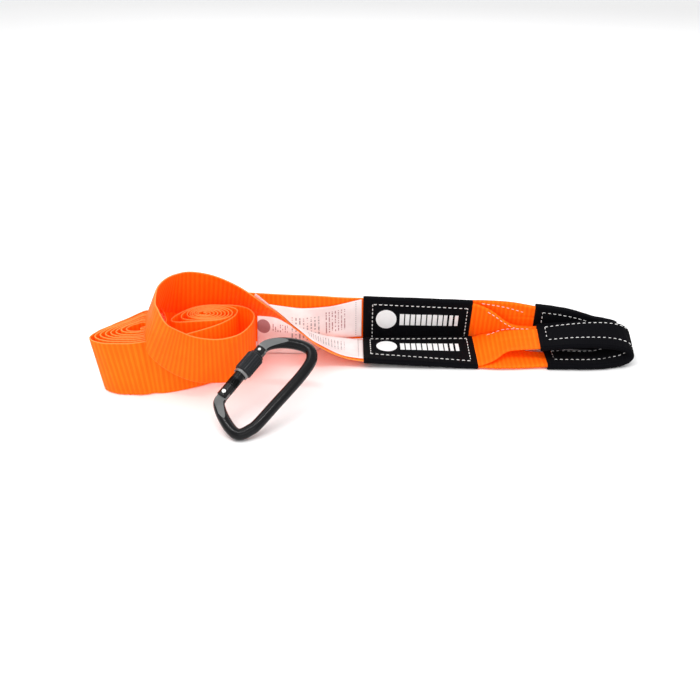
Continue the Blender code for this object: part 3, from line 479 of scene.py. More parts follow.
def right_roll(degrees, layer):
    """The same in the right roll, whose far left is drawn out into a blunt tip."""
    angle = np.radians(degrees)
    share = (layer / LAYERS_IN_ROLL)[:, None]
    middle = RIGHT_ROLL_MIDDLE + (RIGHT_ROLL_HEART - RIGHT_ROLL_MIDDLE) * share
    half = RIGHT_ROLL_HALF + (RIGHT_ROLL_HEART_HALF - RIGHT_ROLL_HALF) * share
    turned = np.clip(np.cos(angle - math.radians(RIGHT_TIP_DIRECTION)), 0, 1)
    pull = turned ** 4 * np.exp(-((layer / 1.6) ** 2))
    flat = middle + half * np.stack([np.cos(angle), np.sin(angle)], axis=1)
    flat = flat + pull[:, None] * RIGHT_TIP_SHIFT
    points = np.hstack([flat, np.full((len(flat), 1), WEB_HALF_WIDTH)])
    return points, np.tile((0.0, 0.0, 1.0), (len(flat), 1))


def hairpin(leaving, arriving, forward, bulge):
    """A tight half turn from one point to its neighbour."""
    turn = np.linspace(0, math.pi, 9)[1:-1, None]
    points = leaving + (arriving - leaving) * (1 - np.cos(turn)) / 2 + forward * bulge * np.sin(turn)
    return points, np.tile((0.0, 0.0, 1.0), (len(points), 1))


def wound(roll, start, direction):
    """In to the heart of a roll and back out, as (middles, acrosses)."""
    swept = np.linspace(0, 360 * TURNS_IN, 360 * TURNS_IN // 2)
    inward = roll(start + direction * swept, swept / 180)
    outward = roll(start + direction * swept[::-1], swept[::-1] / 180 + 1)
    forward = normalised(inward[0][-1] - inward[0][-3])
    turn = hairpin(inward[0][-1], outward[0][0], forward, HAIRPIN_BULGE)
    return [np.vstack(parts) for parts in zip(inward, turn, outward)]


def strap_band():
    """The whole strap from inside the front patch to inside the back patch, as one band."""
    pieces = [free_run(FRONT_RUN)]
    pieces.append(wound(right_roll, RIGHT_ROLL_STARTS, 1))
    pieces.append(free_run(LINK_BAND))
    pieces.append(wound(left_roll, LEFT_ROLL_STARTS, -1))
    leaving = np.linspace(LEFT_ROLL_STARTS + 2, LEFT_ROLL_LEAVES, 60)
    pieces.append(left_roll(leaving, 1 - (leaving - LEFT_ROLL_STARTS) / 180))
    pieces.append(free_run(BACK_RUN))
    in_roll = np.concatenate([np.full(len(p[0]), float(k in (1, 3, 4))) for k, p in enumerate(pieces)])
    middles = np.vstack([piece[0] for piece in pieces])
    across = np.vstack([piece[1] for piece in pieces])
    band = Band(middles, across, RIB_PITCH / STATIONS_PER_RIB, soften=1.2, extra=in_roll[:, None])
    uneven = 0.5 + 0.3 * np.sin(band.travelled / 41) + 0.2 * np.sin(band.travelled / 17 + 1)
    band.middle[:, 2] += ROLL_UNEVENNESS * uneven * band.extra[:, 0]
    return band


# ---------------------------------------------------------------- meshes

def in_row(points):
    """Layout millimetres to the frame's metres."""
    return (np.asarray(points, float) - FOOTPRINT_MIDDLE) * MM


def object_from(name, points, faces, material, uv=None, smooth=True, sharp=None):
    """An object from points in the layout's millimetres, with its faces turned to look outwards."""
    mesh = bpy.data.meshes.new(name)
    mesh.from_pydata(in_row(points).tolist(), [], faces)
    if uv is not None:
        layer = mesh.uv_layers.new(name="Strap")
        corners = np.empty(len(mesh.loops), np.int32)
        mesh.loops.foreach_get("vertex_index", corners)
        layer.data.foreach_set("uv", np.asarray(uv, np.float32)[corners].ravel())
    mesh.materials.append(material)
    mesh.validate()
    if smooth:
        mesh.shade_smooth()
    if sharp:
        mesh.set_sharp_from_angle(angle=math.radians(sharp))
    build = bmesh.new()
    build.from_mesh(mesh)
    bmesh.ops.recalc_face_normals(build, faces=build.faces)
    build.to_mesh(mesh)
    build.free()
    return placed(name, mesh)


def placed(name, data):
    """A new object with this data, put in the scene."""
    item = bpy.data.objects.new(name, data)
    bpy.context.scene.collection.objects.link(item)
    return item


def ring_faces(rings, count, closed=False, caps=True):
    """Quads between rings of count points each, and an end face on each end."""
    first = np.arange(rings if closed else rings - 1)[:, None] * count
    after = (first + count) % (rings * count)
    side = np.arange(count)[None]
    turn = (side + 1) % count
    quads = np.stack([first + side, first + turn, after + turn, after + side], axis=-1)
    faces = quads.reshape(-1, 4).tolist()
    if caps and not closed:
        faces.append(list(range(count))[::-1])
        faces.append(list(range((rings - 1) * count, rings * count)))
    return faces


def band_object(name, band, across, lift, material):
    """A closed skin with sections across x lift, one row for each station of the band."""
    points, uv = band.grid(across, lift)
    return object_from(name, points.reshape(-1, 3), ring_faces(*across.shape), material, uv.reshape(-1, 2))


def web_section():
    """(across, lift, how much it carries the ribs) round a piece of webbing."""
    half = WEB_HALF_WIDTH
    side = (
        (-half, 0.30, 0.0), (-half + 0.45, 0.95, 0.1), (-half + 1.5, 0.86, 0.9), (-half + 2.6, 1.0, 1.0),
        (-half / 2, 1.0, 1.0), (0.0, 1.0, 1.0), (half / 2, 1.0, 1.0),
        (half - 2.6, 1.0, 1.0), (half - 1.5, 0.86, 0.9), (half - 0.45, 0.95, 0.1), (half, 0.30, 0.0),
    )
    top = np.array(side)
    under = top[::-1] * (1, -1, 1)
    return np.vstack([top, under])


def rib_shape(travelled):
    """0 in the groove between two ribs, 1 on a rib's crown."""
    return np.abs(np.cos(math.pi * travelled / RIB_PITCH)) ** 0.8


def make_webbing(material):
    band = strap_band()
    section = web_section()
    rib = rib_shape(band.travelled)[:, None]
    across, _ = tiled(section, band)
    lift = section[:, 1] * WEB_HALF_THICKNESS
    lift = lift + np.sign(section[:, 1]) * section[:, 2] * RIB_HEIGHT * rib
    return band_object("webbing", band, across, lift, material), band


def stitches(name, lines, material, length=STITCH_LENGTH, gap=STITCH_GAP, radius=STITCH_RADIUS):
    """Short raised threads along lines of (points, outs)."""
    shares = np.array((0.0, 0.18, 0.5, 0.82, 1.0))
    sink = np.array((-0.9, 0.1, 0.35, 0.1, -0.9))
    girth = np.array((0.5, 0.95, 1.0, 0.95, 0.5))
    sides = np.radians(np.arange(6) * 60)
    points = []
    for line, outs in lines:
        travelled = lengths_along(line)
        for start in np.arange(0.0, travelled[-1] - length * 0.6, length + gap):
            spots = np.minimum(start + shares * length, travelled[-1])
            centre = np.stack([np.interp(spots, travelled, c) for c in line.T], axis=1)
            out = normalised(np.stack([np.interp(spots, travelled, c) for c in outs.T], axis=1))
            ahead = normalised(centre[-1] - centre[0])
            side = normalised(np.cross(out, ahead))
            centre = centre + out * (sink * radius)[:, None]
            ring = (side[:, None] * np.cos(sides)[None, :, None]
                    + out[:, None] * np.sin(sides)[None, :, None])
            points.append(centre[:, None] + ring * (girth * radius)[:, None, None])
    points = np.array(points)
    one = np.array(ring_faces(len(shares), len(sides), caps=False))
    size = len(shares) * len(sides)
    faces = (one[None] + np.arange(len(points))[:, None, None] * size).reshape(-1, 4).tolist()
    for first in range(0, len(points) * size, size):
        faces.append([first + k for k in range(len(sides))][::-1])
        faces.append([first + size - len(sides) + k for k in range(len(sides))])
    return object_from(name, points.reshape(-1, 3), faces, material)


def line_on(band, along, across, lift):
    """A line on a band's face, for stitches; a negative lift is the other face."""
    points, out = band.at(along, across, lift)
    return points, out * np.sign(lift)


def rounded_section(half_width, half_thickness, corner):
    """A flat section with round edges as (across, lift) points."""
    flat = np.arange(-half_width + corner, half_width - corner + 0.01, SECTION_SPACING)
    flat = np.linspace(-half_width + corner, half_width - corner, len(flat))
    turn = np.radians(np.linspace(90, -90, 9)[1:-1])
    edge = np.stack([half_width - corner + corner * np.cos(turn), half_thickness * np.sin(turn)], axis=1)
    top = np.stack([flat, np.full_like(flat, half_thickness)], axis=1)
    return np.vstack([top, edge, -top, -edge])


def tiled(section, band):
    """The same section's across and lift at every station of a band."""
    return (np.tile(column, (len(band.middle), 1)) for column in section.T[:2])


def cloth_noise(travelled, across, seed, scale):
    """Slow, shallow unevenness in a cloth skin, from -1 to 1."""
    value = 0.0
    for k, (a, b) in enumerate(((1.0, 0.6), (1.9, -1.3), (3.1, 2.3))):
        value = value + np.sin(a * travelled / scale + b * across / scale + seed + 1.7 * k) / (k + 1.3)
    return value / 1.7


def beyond(values, low, high):
    """How far values lie outside low to high."""
    return np.clip(np.abs(values - (low + high) / 2) - (high - low) / 2, 0, None)


def seam_dent(travelled, across, distance, reach, swing):
    """How far a seam pulls cloth in at a distance from it, puckered from stitch to stitch."""
    pucker = 1 - swing + swing * np.sin(2 * math.pi * (travelled + across) / (STITCH_LENGTH + STITCH_GAP))
    return SEAM_DENT * np.exp(-((distance / reach) ** 2)) * pucker


def make_patch(name, rows, seam, face, material, thread, print_ink):
    """A wrapped cloth patch with its stitched box and plain marks."""
    band = Band(*dense_rows(rows), 1.0)
    section = rounded_section(PATCH_WIDTH / 2, PATCH_THICKNESS / 2, PATCH_CORNER)
    across, lift = tiled(section, band)
    travelled = band.travelled[:, None]
    ends = np.clip(np.minimum(travelled, band.length - travelled) / PATCH_CORNER, 0, 1)
    rounding = 1 - 0.28 * (1 - np.sqrt(1 - (1 - ends) ** 2))
    start, end, low, high, drop = seam
    slant = drop * (travelled - start) / (end - start)
    across = across + np.sign(across) * 0.25 * cloth_noise(travelled, across * 0, 2.0, 9.0)
    seam_distance = np.minimum.reduce([
        np.hypot(travelled - start, beyond(across, low, high)),
        np.hypot(travelled - end, beyond(across, low, high)),
        np.hypot(across - low, beyond(travelled, start, end)),
        np.hypot(across - high - slant, beyond(travelled, start, end)),
    ])
    dent = seam_dent(travelled, across, seam_distance, 1.3, 0.25)
    lift = lift * rounding + np.sign(lift) * (0.16 * cloth_noise(travelled, across, 0.5, 7.0) - dent)
    patch = band_object(name, band, across, lift, material)
    top = face * (PATCH_THICKNESS / 2 - SEAM_DENT * 0.6)
    lines = [
        line_on(band, np.linspace(start, end, 60), low, top),
        line_on(band, end, np.linspace(low, high + drop, 30), top),
        line_on(band, np.linspace(end, start, 60), np.linspace(high + drop, high, 60), top),
        line_on(band, start, np.linspace(high, low, 30), top),
    ]
    seam_object = stitches(name + "_stitches", lines, thread)
    marks = make_marks(name + "_marks", band, face, print_ink)
    return patch, seam_object, marks


def raised(band, outline, face, low, high):
    """A thin closed plate over a (along, across) outline: its points and its faces."""
    outline = np.asarray(outline, float)
    under, _ = band.at(outline[:, 0], outline[:, 1], face * low)
    top, _ = band.at(outline[:, 0], outline[:, 1], face * high)
    return np.vstack([under, top]), ring_faces(2, len(outline))


def make_marks(name, band, face, material):
    """A plain disc and a row of plain blocks where the patch carries its printed marks."""
    surface = PATCH_THICKNESS / 2
    middle, height, radius = MARK_PLACES[name]
    turn = np.radians(np.arange(40) * 9.0)
    outlines = [np.stack([MARK_DISC_ALONG + MARK_DISC_RADIUS * np.cos(turn),
                          middle + radius * np.sin(turn)], axis=1)]
    for index in range(MARK_BLOCKS):
        start = MARK_BLOCKS_FROM + index * MARK_BLOCK_PITCH
        end = start + MARK_BLOCK_PITCH * (WIDE_BLOCK if index < WIDE_BLOCKS else NARROW_BLOCK)
        half = height / 2
        steps = np.linspace(start, end, 4)
        low = np.stack([steps, np.full(4, middle - half)], axis=1)
        high = np.stack([steps[::-1], np.full(4, middle + half)], axis=1)
        outlines.append(np.vstack([low, high]))
    points = []
    faces = []
    total = 0
    for outline in outlines:
        some, sides = raised(band, outline, face, surface - MARK_SUNK, surface + MARK_PROUD)
        faces += [[total + corner for corner in side] for side in sides]
        points.append(some)
        total += len(some)
    return object_from(name, np.vstack(points), faces, material, sharp=40)


def eye_band(rows, step):
    """A band along an eye, with its width as an extra column."""
    middles, across = dense_rows([row[:2] for row in rows], 40)
    places = np.linspace(0, len(rows) - 1, len(middles))
    widths = smooth_points(np.array([[row[2]] for row in rows]), places)
    return Band(middles, across, step, soften=2.0, extra=widths)


def make_eye_web(name, rows, material):
    """Webbing narrowed to half its width by folding both edges in, so each leg is a thick fold."""
    band = eye_band(rows, RIB_PITCH / STATIONS_PER_RIB)
    width = band.extra[:, :1]
    folded = np.clip((50.0 - width) / 25.0, 0, 1)
    shares = np.linspace(-1, 1, 25)
    top = np.tile(shares, (len(width), 1))
    rib = rib_shape(band.travelled)[:, None] * RIB_HEIGHT
    edge = np.clip((1 - np.abs(top)) * width / 2 / 1.2, 0, 1) ** 0.5
    half = EYE_THICKNESS / 2 * (0.55 + 0.45 * folded)
    groove = folded * 0.55 * np.exp(-((top * width / 2 / 0.9) ** 2))
    rim = folded * 0.25 * np.exp(-(((np.abs(top) - 0.86) * width / 2 / 2.2) ** 2))
    upper = (half - groove + rim + rib) * edge
    lower = -(half + rib) * edge
    across = np.hstack([top, top[:, ::-1]]) * width / 2
    lift = np.hstack([upper, lower[:, ::-1]])
    return band_object(name, band, across, lift, material), band


def sleeve_part(band, starts):
    """The part of an eye that its sleeve covers, past x = starts on each leg."""
    turn = int(np.argmax(band.middle[:, 0]))
    index = np.arange(len(band.middle))
    limit = np.where(index <= turn, starts[0], starts[1])
    kept = band.middle[:, 0] > limit
    return Band(band.middle[kept], band.across[kept], 1.0)


def make_sleeve(name, eye, starts, material, thread):
    """A flattened cloth tube open at both ends, creased on the inside of its bend."""
    band = sleeve_part(eye, starts)
    edge, wall, corner = SLEEVE_LINING
    outer = rounded_section(SLEEVE_WIDTH / 2, SLEEVE_THICKNESS / 2, SLEEVE_CORNER)
    inner = rounded_section(SLEEVE_WIDTH / 2 - edge, SLEEVE_THICKNESS / 2 - wall, corner)
    inner = inner[np.linspace(0, len(inner) - 1, len(outer)).astype(int)]
    travelled = band.travelled[:, None]
    bend = np.linalg.norm(np.gradient(band.forward, axis=0), axis=1)[:, None]
    bend = np.clip(softened(bend, 4) / 0.06, 0, 1)
    across, lift = tiled(outer, band)
    low, high = SLEEVE_SEAMS[name]
    from_seam = np.minimum(np.abs(across - low), np.abs(across - high))
    from_seam = np.minimum(from_seam, np.abs(travelled - SLEEVE_END_SEAM) + 0 * across)
    from_seam = np.minimum(from_seam, np.abs(travelled - band.length + SLEEVE_END_SEAM) + 0 * across)
    dent = seam_dent(travelled, across, from_seam, 1.2, 0.3)
    crease = 0.4 * bend * np.sin(travelled * 1.1 + 0.25 * across)
    swell = 0.3 * cloth_noise(travelled, across, 1.0 + len(name), 8.0)
    lift = lift + np.sign(lift) * (swell - dent + crease * (0.4 + 0.6 * (lift * band_inside(band) > 0)))
    across = across + np.sign(across) * 0.3 * cloth_noise(travelled, 0 * across, 3.0, 6.0)
    hem = np.clip(np.minimum(travelled, band.length - travelled) / 1.0, 0, 1)
    lift = lift * (0.93 + 0.07 * hem)
    skin, skin_uv = band.grid(across, lift)
    lining, lining_uv = band.grid(*tiled(inner, band))
    grid = np.vstack([skin, lining[::-1]])
    uv = np.vstack([skin_uv, lining_uv[::-1]])
    faces = ring_faces(len(grid), grid.shape[1], closed=True)
    item = object_from(name, grid.reshape(-1, 3), faces, material, uv.reshape(-1, 2))
    lines = []
    for side in (1, -1):
        lift_here = side * (SLEEVE_THICKNESS / 2 - SEAM_DENT * 0.5)
        span = np.linspace(SLEEVE_END_SEAM, band.length - SLEEVE_END_SEAM, 240)
        lines.append(line_on(band, span, low, lift_here))
        lines.append(line_on(band, span, high, lift_here))
        for end in (SLEEVE_END_SEAM, band.length - SLEEVE_END_SEAM):
            lines.append(line_on(band, end, np.linspace(low, high, 30), lift_here))
    return item, stitches(name + "_stitches", lines, thread, *SLEEVE_STITCHES)


def band_inside(band):
    """+1 where the band's out side faces the middle of its own loop, -1 where it faces away."""
    centre = band.middle.mean(axis=0)
    facing = ((centre - band.middle) * band.out).sum(axis=1)
    return np.sign(facing)[:, None]


def front_tape_route(strap):
    """The front tape's own band: flat on the front run, and past its upper edge at the free end."""
    x = strap.middle[:, 0]
    kept = slice(np.argmax(x < FRONT_TAPE_FROM_X), np.argmax(x < FRONT_TAPE_TO_X))
    share = np.clip((FRONT_TAPE_SHIFT_FROM_X - x[kept]) / FRONT_TAPE_SHIFT_OVER, 0, 1)
    shift = FRONT_TAPE_SHIFT * share * share * (3 - 2 * share)
    lift = WEB_HALF_THICKNESS + RIB_HEIGHT + TAPE_THICKNESS / 2 + TAPE_CLEARANCE
    middle = strap.middle[kept] + strap.out[kept] * lift + strap.across[kept] * shift[:, None]
    return Band(middle, strap.across[kept], 1.0)


def make_front_tape(name, band, material, thread):
    """A thin woven tape with a dotted seam across it, on both faces."""
    shares = np.linspace(-1, 1, 31)
    top = np.tile(shares, (len(band.middle), 1))
    travelled = band.travelled[:, None]
    half = np.full_like(top, TAPE_THICKNESS / 2)
    half = half * np.clip((1.02 - np.abs(top)) * 12, 0.3, 1)
    ripple = 0.25 * np.sin(travelled / 6.0 + 1.2 * top) * top ** 2
    across = np.hstack([top, top[:, ::-1]]) * TAPE_WIDTH / 2
    lift = np.hstack([half + ripple, (-half + ripple)[:, ::-1]])
    item = band_object(name, band, across, lift, material)
    seam = np.linspace(-TAPE_WIDTH / 2 + 1.0, TAPE_WIDTH / 2 - 1.0, 40)
    lines = [line_on(band, FRONT_TAPE_SEAM, seam, side * TAPE_THICKNESS / 2) for side in (1, -1)]
    return item, stitches(name + "_stitches", lines, thread, *TAPE_STITCHES)


def make_back_tape(name, material, thread):
    """The tape on the back run, curled under the front run towards its free end."""
    rows = []
    for (x, first), (x_after, second) in zip(BACK_TAPE, BACK_TAPE[1:]):
        steps = max(2, int(abs(x_after - x) / 1.0))
        for t in np.arange(steps) / steps:
            rows.append((x + (x_after - x) * t, np.array(first) * (1 - t) + np.array(second) * t))
    rows.append((BACK_TAPE[-1][0], np.array(BACK_TAPE[-1][1])))
    lines = np.stack([line for _, line in rows])
    lines = softened(lines.reshape(len(rows), -1), 3.0).reshape(lines.shape)
    places = np.linspace(0, 3, 41)
    front = []
    behind = []
    uv = []
    for (x, _), line in zip(rows, lines):
        fine = smooth_points(line, places)
        down = normalised(np.gradient(fine, axis=0))
        side = np.stack([down[:, 1], -down[:, 0]], axis=1) * (TAPE_THICKNESS / 2)
        travelled = lengths_along(fine)
        column = np.full((len(fine), 1), x)
        front.append(np.hstack([column, fine + side]))
        behind.append(np.hstack([column, fine - side])[::-1])
        here = np.stack([np.full(len(fine), BACK_TAPE[0][0] - x), travelled], axis=1)
        uv.append(np.vstack([here, here[::-1]]))
    grid = np.concatenate([np.stack(front), np.stack(behind)], axis=1)
    faces = ring_faces(len(grid), grid.shape[1])
    item = object_from(name, grid.reshape(-1, 3), faces, material, np.array(uv).reshape(-1, 2))
    points = grid[BACK_TAPE_SEAM_ROW, 1:40]
    outs = normalised(points - grid[BACK_TAPE_SEAM_ROW, 42:81][::-1])
    return item, stitches(name + "_stitches", [(points, outs)], thread, *TAPE_STITCHES)


# ---------------------------------------------------------------- carabiner

def carabiner_axes():
    across = np.array((1.0, 0.0, 0.0))
    up = np.array((0.0, math.cos(CARABINER_LEAN), math.sin(CARABINER_LEAN)))
    along = across * math.cos(CARABINER_TURN) + up * math.sin(CARABINER_TURN)
    outward = up * math.cos(CARABINER_TURN) - across * math.sin(CARABINER_TURN)
    return np.stack([along, outward, np.cross(across, up)])


def on_carabiner(points):
    """The carabiner's own (x, y, z) to the layout."""
    return CARABINER_ORIGIN + np.asarray(points, float) @ carabiner_axes()


def hoop(x, radius, angles):
    """Points round the gate's axis."""
    return np.stack([np.full(len(angles), x), radius * np.cos(angles), radius * np.sin(angles)], axis=1)


def turned(name, profile, material, sides=64):
    """A turned piece along the gate's axis from (x, radius) pairs."""
    angles = 2 * math.pi * np.arange(sides) / sides
    grid = np.vstack([hoop(x, radius, angles) for x, radius in profile])
    return object_from(name, on_carabiner(grid), ring_faces(len(profile), sides), material, sharp=30)


def prism(name, outline, axis, low, high, material):
    """An outline in the plane across axis (1 = across the carabiner, 2 = through it), extruded."""
    corners = []
    for level in (low, high):
        for first, second in outline:
            corners.append((first, level, second) if axis == 1 else (first, second, level))
    return object_from(name, on_carabiner(corners), ring_faces(2, len(outline)), material, smooth=False)


def wedge(name, start, heading, sign, material):
    """Room above a flat that slopes out of the stock, from start along heading (degrees)."""
    turn = math.radians(heading)
    ahead = np.array((math.cos(turn), math.sin(turn), 0.0))
    side = np.array((-math.sin(turn), math.cos(turn), 0.0))
    outline = ((-CUT_REACH, FLAT_TOP), (-CUT_REACH, FLAT_LOW), (FLAT_LEVEL, FLAT_LOW),
               (FLAT_LENGTH, STOCK_RADIUS), (FLAT_LENGTH, FLAT_TOP))
    corners = []
    for level in (-FLAT_HALF_WIDTH, FLAT_HALF_WIDTH):
        for first, height in outline:
            corners.append(np.array((*start, sign * height)) + ahead * first + side * level)
    return object_from(name, on_carabiner(corners), ring_faces(2, len(outline)), material, smooth=False)


def disc(x, y, radius, sides=48):
    turn = 2 * math.pi * np.arange(sides) / sides
    return [(x + radius * math.cos(a), y + radius * math.sin(a)) for a in turn]


def carve(item, tools):
    """Apply Boolean tools to item, then remove them."""
    for tool, operation in tools:
        change = item.modifiers.new(tool.name, "BOOLEAN")
        change.operation = operation
        change.solver = "EXACT"
        change.material_mode = "TRANSFER"
        change.object = tool
    bpy.context.view_layer.update()
    evaluated = item.evaluated_get(bpy.context.evaluated_depsgraph_get())
    mesh = bpy.data.meshes.new_from_object(evaluated)
    item.modifiers.clear()
    item.data = mesh
    for tool, _ in tools:
        bpy.data.objects.remove(tool, do_unlink=True)
    mesh.shade_smooth()
    mesh.set_sharp_from_angle(angle=math.radians(28))
    return item


def cutter(name, outline, material, half=CUT_REACH, axis=2):
    return prism(name, outline, axis, -half, half, material)


def box_outline(low_x, high_x, low_y, high_y):
    return ((low_x, low_y), (high_x, low_y), (high_x, high_y), (low_x, high_y))


def make_body(black, machined):
    """Round stock bent into a D, with milled flats running down to the tongues the gate meets."""
    places = np.linspace(0, len(BODY_ROUTE) - 1, 12 * (len(BODY_ROUTE) - 1) + 1)
    smooth = smooth_points(BODY_ROUTE, places)
    route, _ = evenly(smooth, smooth, 0.9)
    ahead = normalised(np.gradient(route, axis=0))
    side = np.stack([ahead[:, 1], -ahead[:, 0]], axis=1)
    angles = 2 * math.pi * (np.arange(STOCK_SIDES) + 0.5) / STOCK_SIDES
    flat = route[:, None] + side[:, None] * (STOCK_RADIUS * np.cos(angles))[None, :, None]
    height = np.broadcast_to(STOCK_RADIUS * np.sin(angles), flat.shape[:2])[..., None]
    grid = np.concatenate([flat, height], axis=-1)
    body = object_from("carabiner_stock", on_carabiner(grid.reshape(-1, 3)),
                       ring_faces(len(grid), STOCK_SIDES), black)
    turn = np.radians(np.linspace(-90, 90, 25))
    tongue = [(HINGE_X + TONGUE_END_RADIUS * math.cos(a), TONGUE_END_RADIUS * math.sin(a)) for a in turn]
    tongue += HINGE_TONGUE_ROOT
    seat = disc(LATCH_PIN_X, 0.0, PIN_SEAT_RADIUS)[:25]
    seat += [(LATCH_PIN_X - PIN_SEAT_MOUTH, -CUT_REACH), (LATCH_PIN_X + PIN_SEAT_MOUTH, -CUT_REACH)]
    room = box_outline(NOSE_ROOM_START, GATE_END + NOSE_ROOM_GAP, -CUT_REACH, CUT_REACH)
    rivet_hole = disc(HINGE_X, 0.0, RIVET_RADIUS + FIT_GAP)
    tools = [
        (cutter("swing", disc(HINGE_X, 0.0, SWING_ROOM_RADIUS), machined), "DIFFERENCE"),
        (cutter("room", room, machined), "DIFFERENCE"),
    ]
    for start, heading in ((HINGE_FLAT_FROM, HINGE_FLAT_HEADING), (NOSE_FLAT_FROM, NOSE_FLAT_HEADING)):
        for sign in (1, -1):
            tools.append((wedge("flat", start, heading, sign, machined), "DIFFERENCE"))
    tools += [
        (cutter("tongue", tongue, machined, TONGUE_HALF), "UNION"),
        (cutter("nose", NOSE_TONGUE, machined, TONGUE_HALF), "UNION"),
        (cutter("rivet_hole", rivet_hole, machined), "DIFFERENCE"),
        (cutter("seat", seat, machined, 2 * TONGUE_HALF), "DIFFERENCE"),
    ]
    return carve(body, tools)


def make_gate(black, machined):
    """A turned gate with grooves, forked at both ends."""
    radius = GATE_RADIUS
    profile = [(GATE_START, radius - GATE_EDGE), (GATE_START + GATE_EDGE, radius)]
    for groove in GATE_GROOVES:
        profile += [(groove - GROOVE_HALF, radius), (groove - 0.6, radius - GROOVE_DEPTH),
                    (groove + 0.6, radius - GROOVE_DEPTH), (groove + GROOVE_HALF, radius)]
    profile += [(GATE_END - 0.5, radius), (GATE_END, radius - 0.5)]
    gate = turned("gate_tube", profile, black)
    half = SLOT_WIDTH / 2
    hinge_slot = box_outline(-33.0, HINGE_SLOT_END, -half, half)
    nose_slot = ((NOSE_SLOT_START, -half), (32.0, -half), (32.0, half), (NOSE_SLOT_START, half))
    bore = ((HINGE_SLOT_END - 4.0, BORE_RADIUS), (BORE_END, BORE_RADIUS))
    rivet_seat = disc(HINGE_X, 0.0, RIVET_RADIUS + FIT_GAP)
    pin_seat = disc(LATCH_PIN_X, 0.0, LATCH_PIN_RADIUS + FIT_GAP)
    tools = [
        (cutter("hinge_slot", hinge_slot, machined, axis=1), "DIFFERENCE"),
        (cutter("nose_slot", nose_slot, machined, axis=1), "DIFFERENCE"),
        (turned("bore", bore, machined, 32), "DIFFERENCE"),
        (cutter("rivet_seat", rivet_seat, machined), "DIFFERENCE"),
        (cutter("pin_seat", pin_seat, machined), "DIFFERENCE"),
    ]
    return carve(gate, tools)


def make_lock_sleeve(material):
    """A fluted barrel with rounded ends and a plain collar at its nose end."""
    sides = KNURLS * 10
    angles = 2 * math.pi * np.arange(sides) / sides
    flute = 0.5 - 0.5 * np.cos(angles * KNURLS)
    flute = np.clip(flute * 2.2 - 0.5, 0, 1)
    # (x, radius, how deep the flutes cut)
    profile = [(BARREL_START, 6.45, 0.0), (-0.5, 6.9, 0.0), (0.2, 7.2, 0.2), (0.9, BARREL_RADIUS, 1.0)]
    for x in np.arange(1.6, 16.0, BARREL_RING_STEP):
        profile.append((x, BARREL_RADIUS, 1.0))
    profile += [(16.4, BARREL_RADIUS, 1.0), (16.9, 7.1, 0.2), (17.3, 6.6, 0.0),
                (17.5, COLLAR_RADIUS, 0.0), (19.0, COLLAR_RADIUS, 0.0), (COLLAR_END, 5.7, 0.0),
                (COLLAR_END, BARREL_BORE, 0.0), (BARREL_START, BARREL_BORE, 0.0)]
    grid = [hoop(x, radius - KNURL_DEPTH * share * flute, angles) for x, radius, share in profile]
    faces = ring_faces(len(grid), sides, closed=True)
    return object_from("lock_barrel", on_carabiner(np.vstack(grid)), faces, material, sharp=50)


# ---------------------------------------------------------------- materials

class Graph:
    """A material with its Principled shader, and short calls to add nodes to it."""

    def __init__(self, name):
        self.material = bpy.data.materials.new(name)
        self.material.use_nodes = True
        self.tree = self.material.node_tree
        self.shader = self.tree.nodes["Principled BSDF"]

    def add(self, kind, settings=None, **inputs):
        node = self.tree.nodes.new("ShaderNode" + kind)
        for key, value in (settings or {}).items():
            setattr(node, key, value)
        for key, value in inputs.items():
            self.put(node, int(key[1:]) if key[1:].isdigit() else key.replace("_", " "), value)
        return node

    def put(self, node, socket, value):
        if isinstance(value, bpy.types.NodeSocket):
            self.tree.links.new(value, node.inputs[socket])
        else:
            node.inputs[socket].default_value = value

    def math(self, operation, first, second=0.0):
        return self.add("Math", {"operation": operation}, i0=first, i1=second).outputs[0]

    def times(self, first, second):
        return self.math("MULTIPLY", first, second)

    def plus(self, first, second):
        return self.math("ADD", first, second)

    def mix(self, share, first, second):
        node = self.add("Mix", {"data_type": "RGBA"})
        self.put(node, 0, share)
        self.put(node, 6, first)
        self.put(node, 7, second)
        return node.outputs[2]

    def span(self, value, low, high, to_low=0.0, to_high=1.0):
        node = self.add("MapRange", {"interpolation_type": "SMOOTHSTEP"}, i0=value, i1=low, i2=high,
                        i3=to_low, i4=to_high)
        return node.outputs[0]

    def noise(self, scale, detail, vector=None):
        node = self.add("TexNoise", None, Scale=scale, Detail=detail, Roughness=0.5)
        vector = vector or self.add("TexCoord").outputs["Object"]
        self.put(node, "Vector", vector)
        return node.outputs[0]

    def strap(self):
        """Distances along and across the cloth in millimetres."""
        split = self.add("SeparateXYZ", None, Vector=self.add("UVMap", {"uv_map": "Strap"}).outputs[0])
        return split.outputs[0], split.outputs[1]

    def bump(self, height, strength, distance):
        node = self.add("Bump", None, Strength=strength, Distance=distance, Height=height)
        self.put(self.shader, "Normal", node.outputs[0])

    def set(self, **inputs):
        for key, value in inputs.items():
            self.put(self.shader, key.replace("_", " "), value)
        return self.material


def sine(graph, distance, pitch, phase=0.0):
    """A wave from 0 to 1."""
    angle = graph.plus(graph.times(distance, 2 * math.pi / pitch), phase)
    return graph.plus(graph.times(graph.math("SINE", angle), 0.5), 0.5)


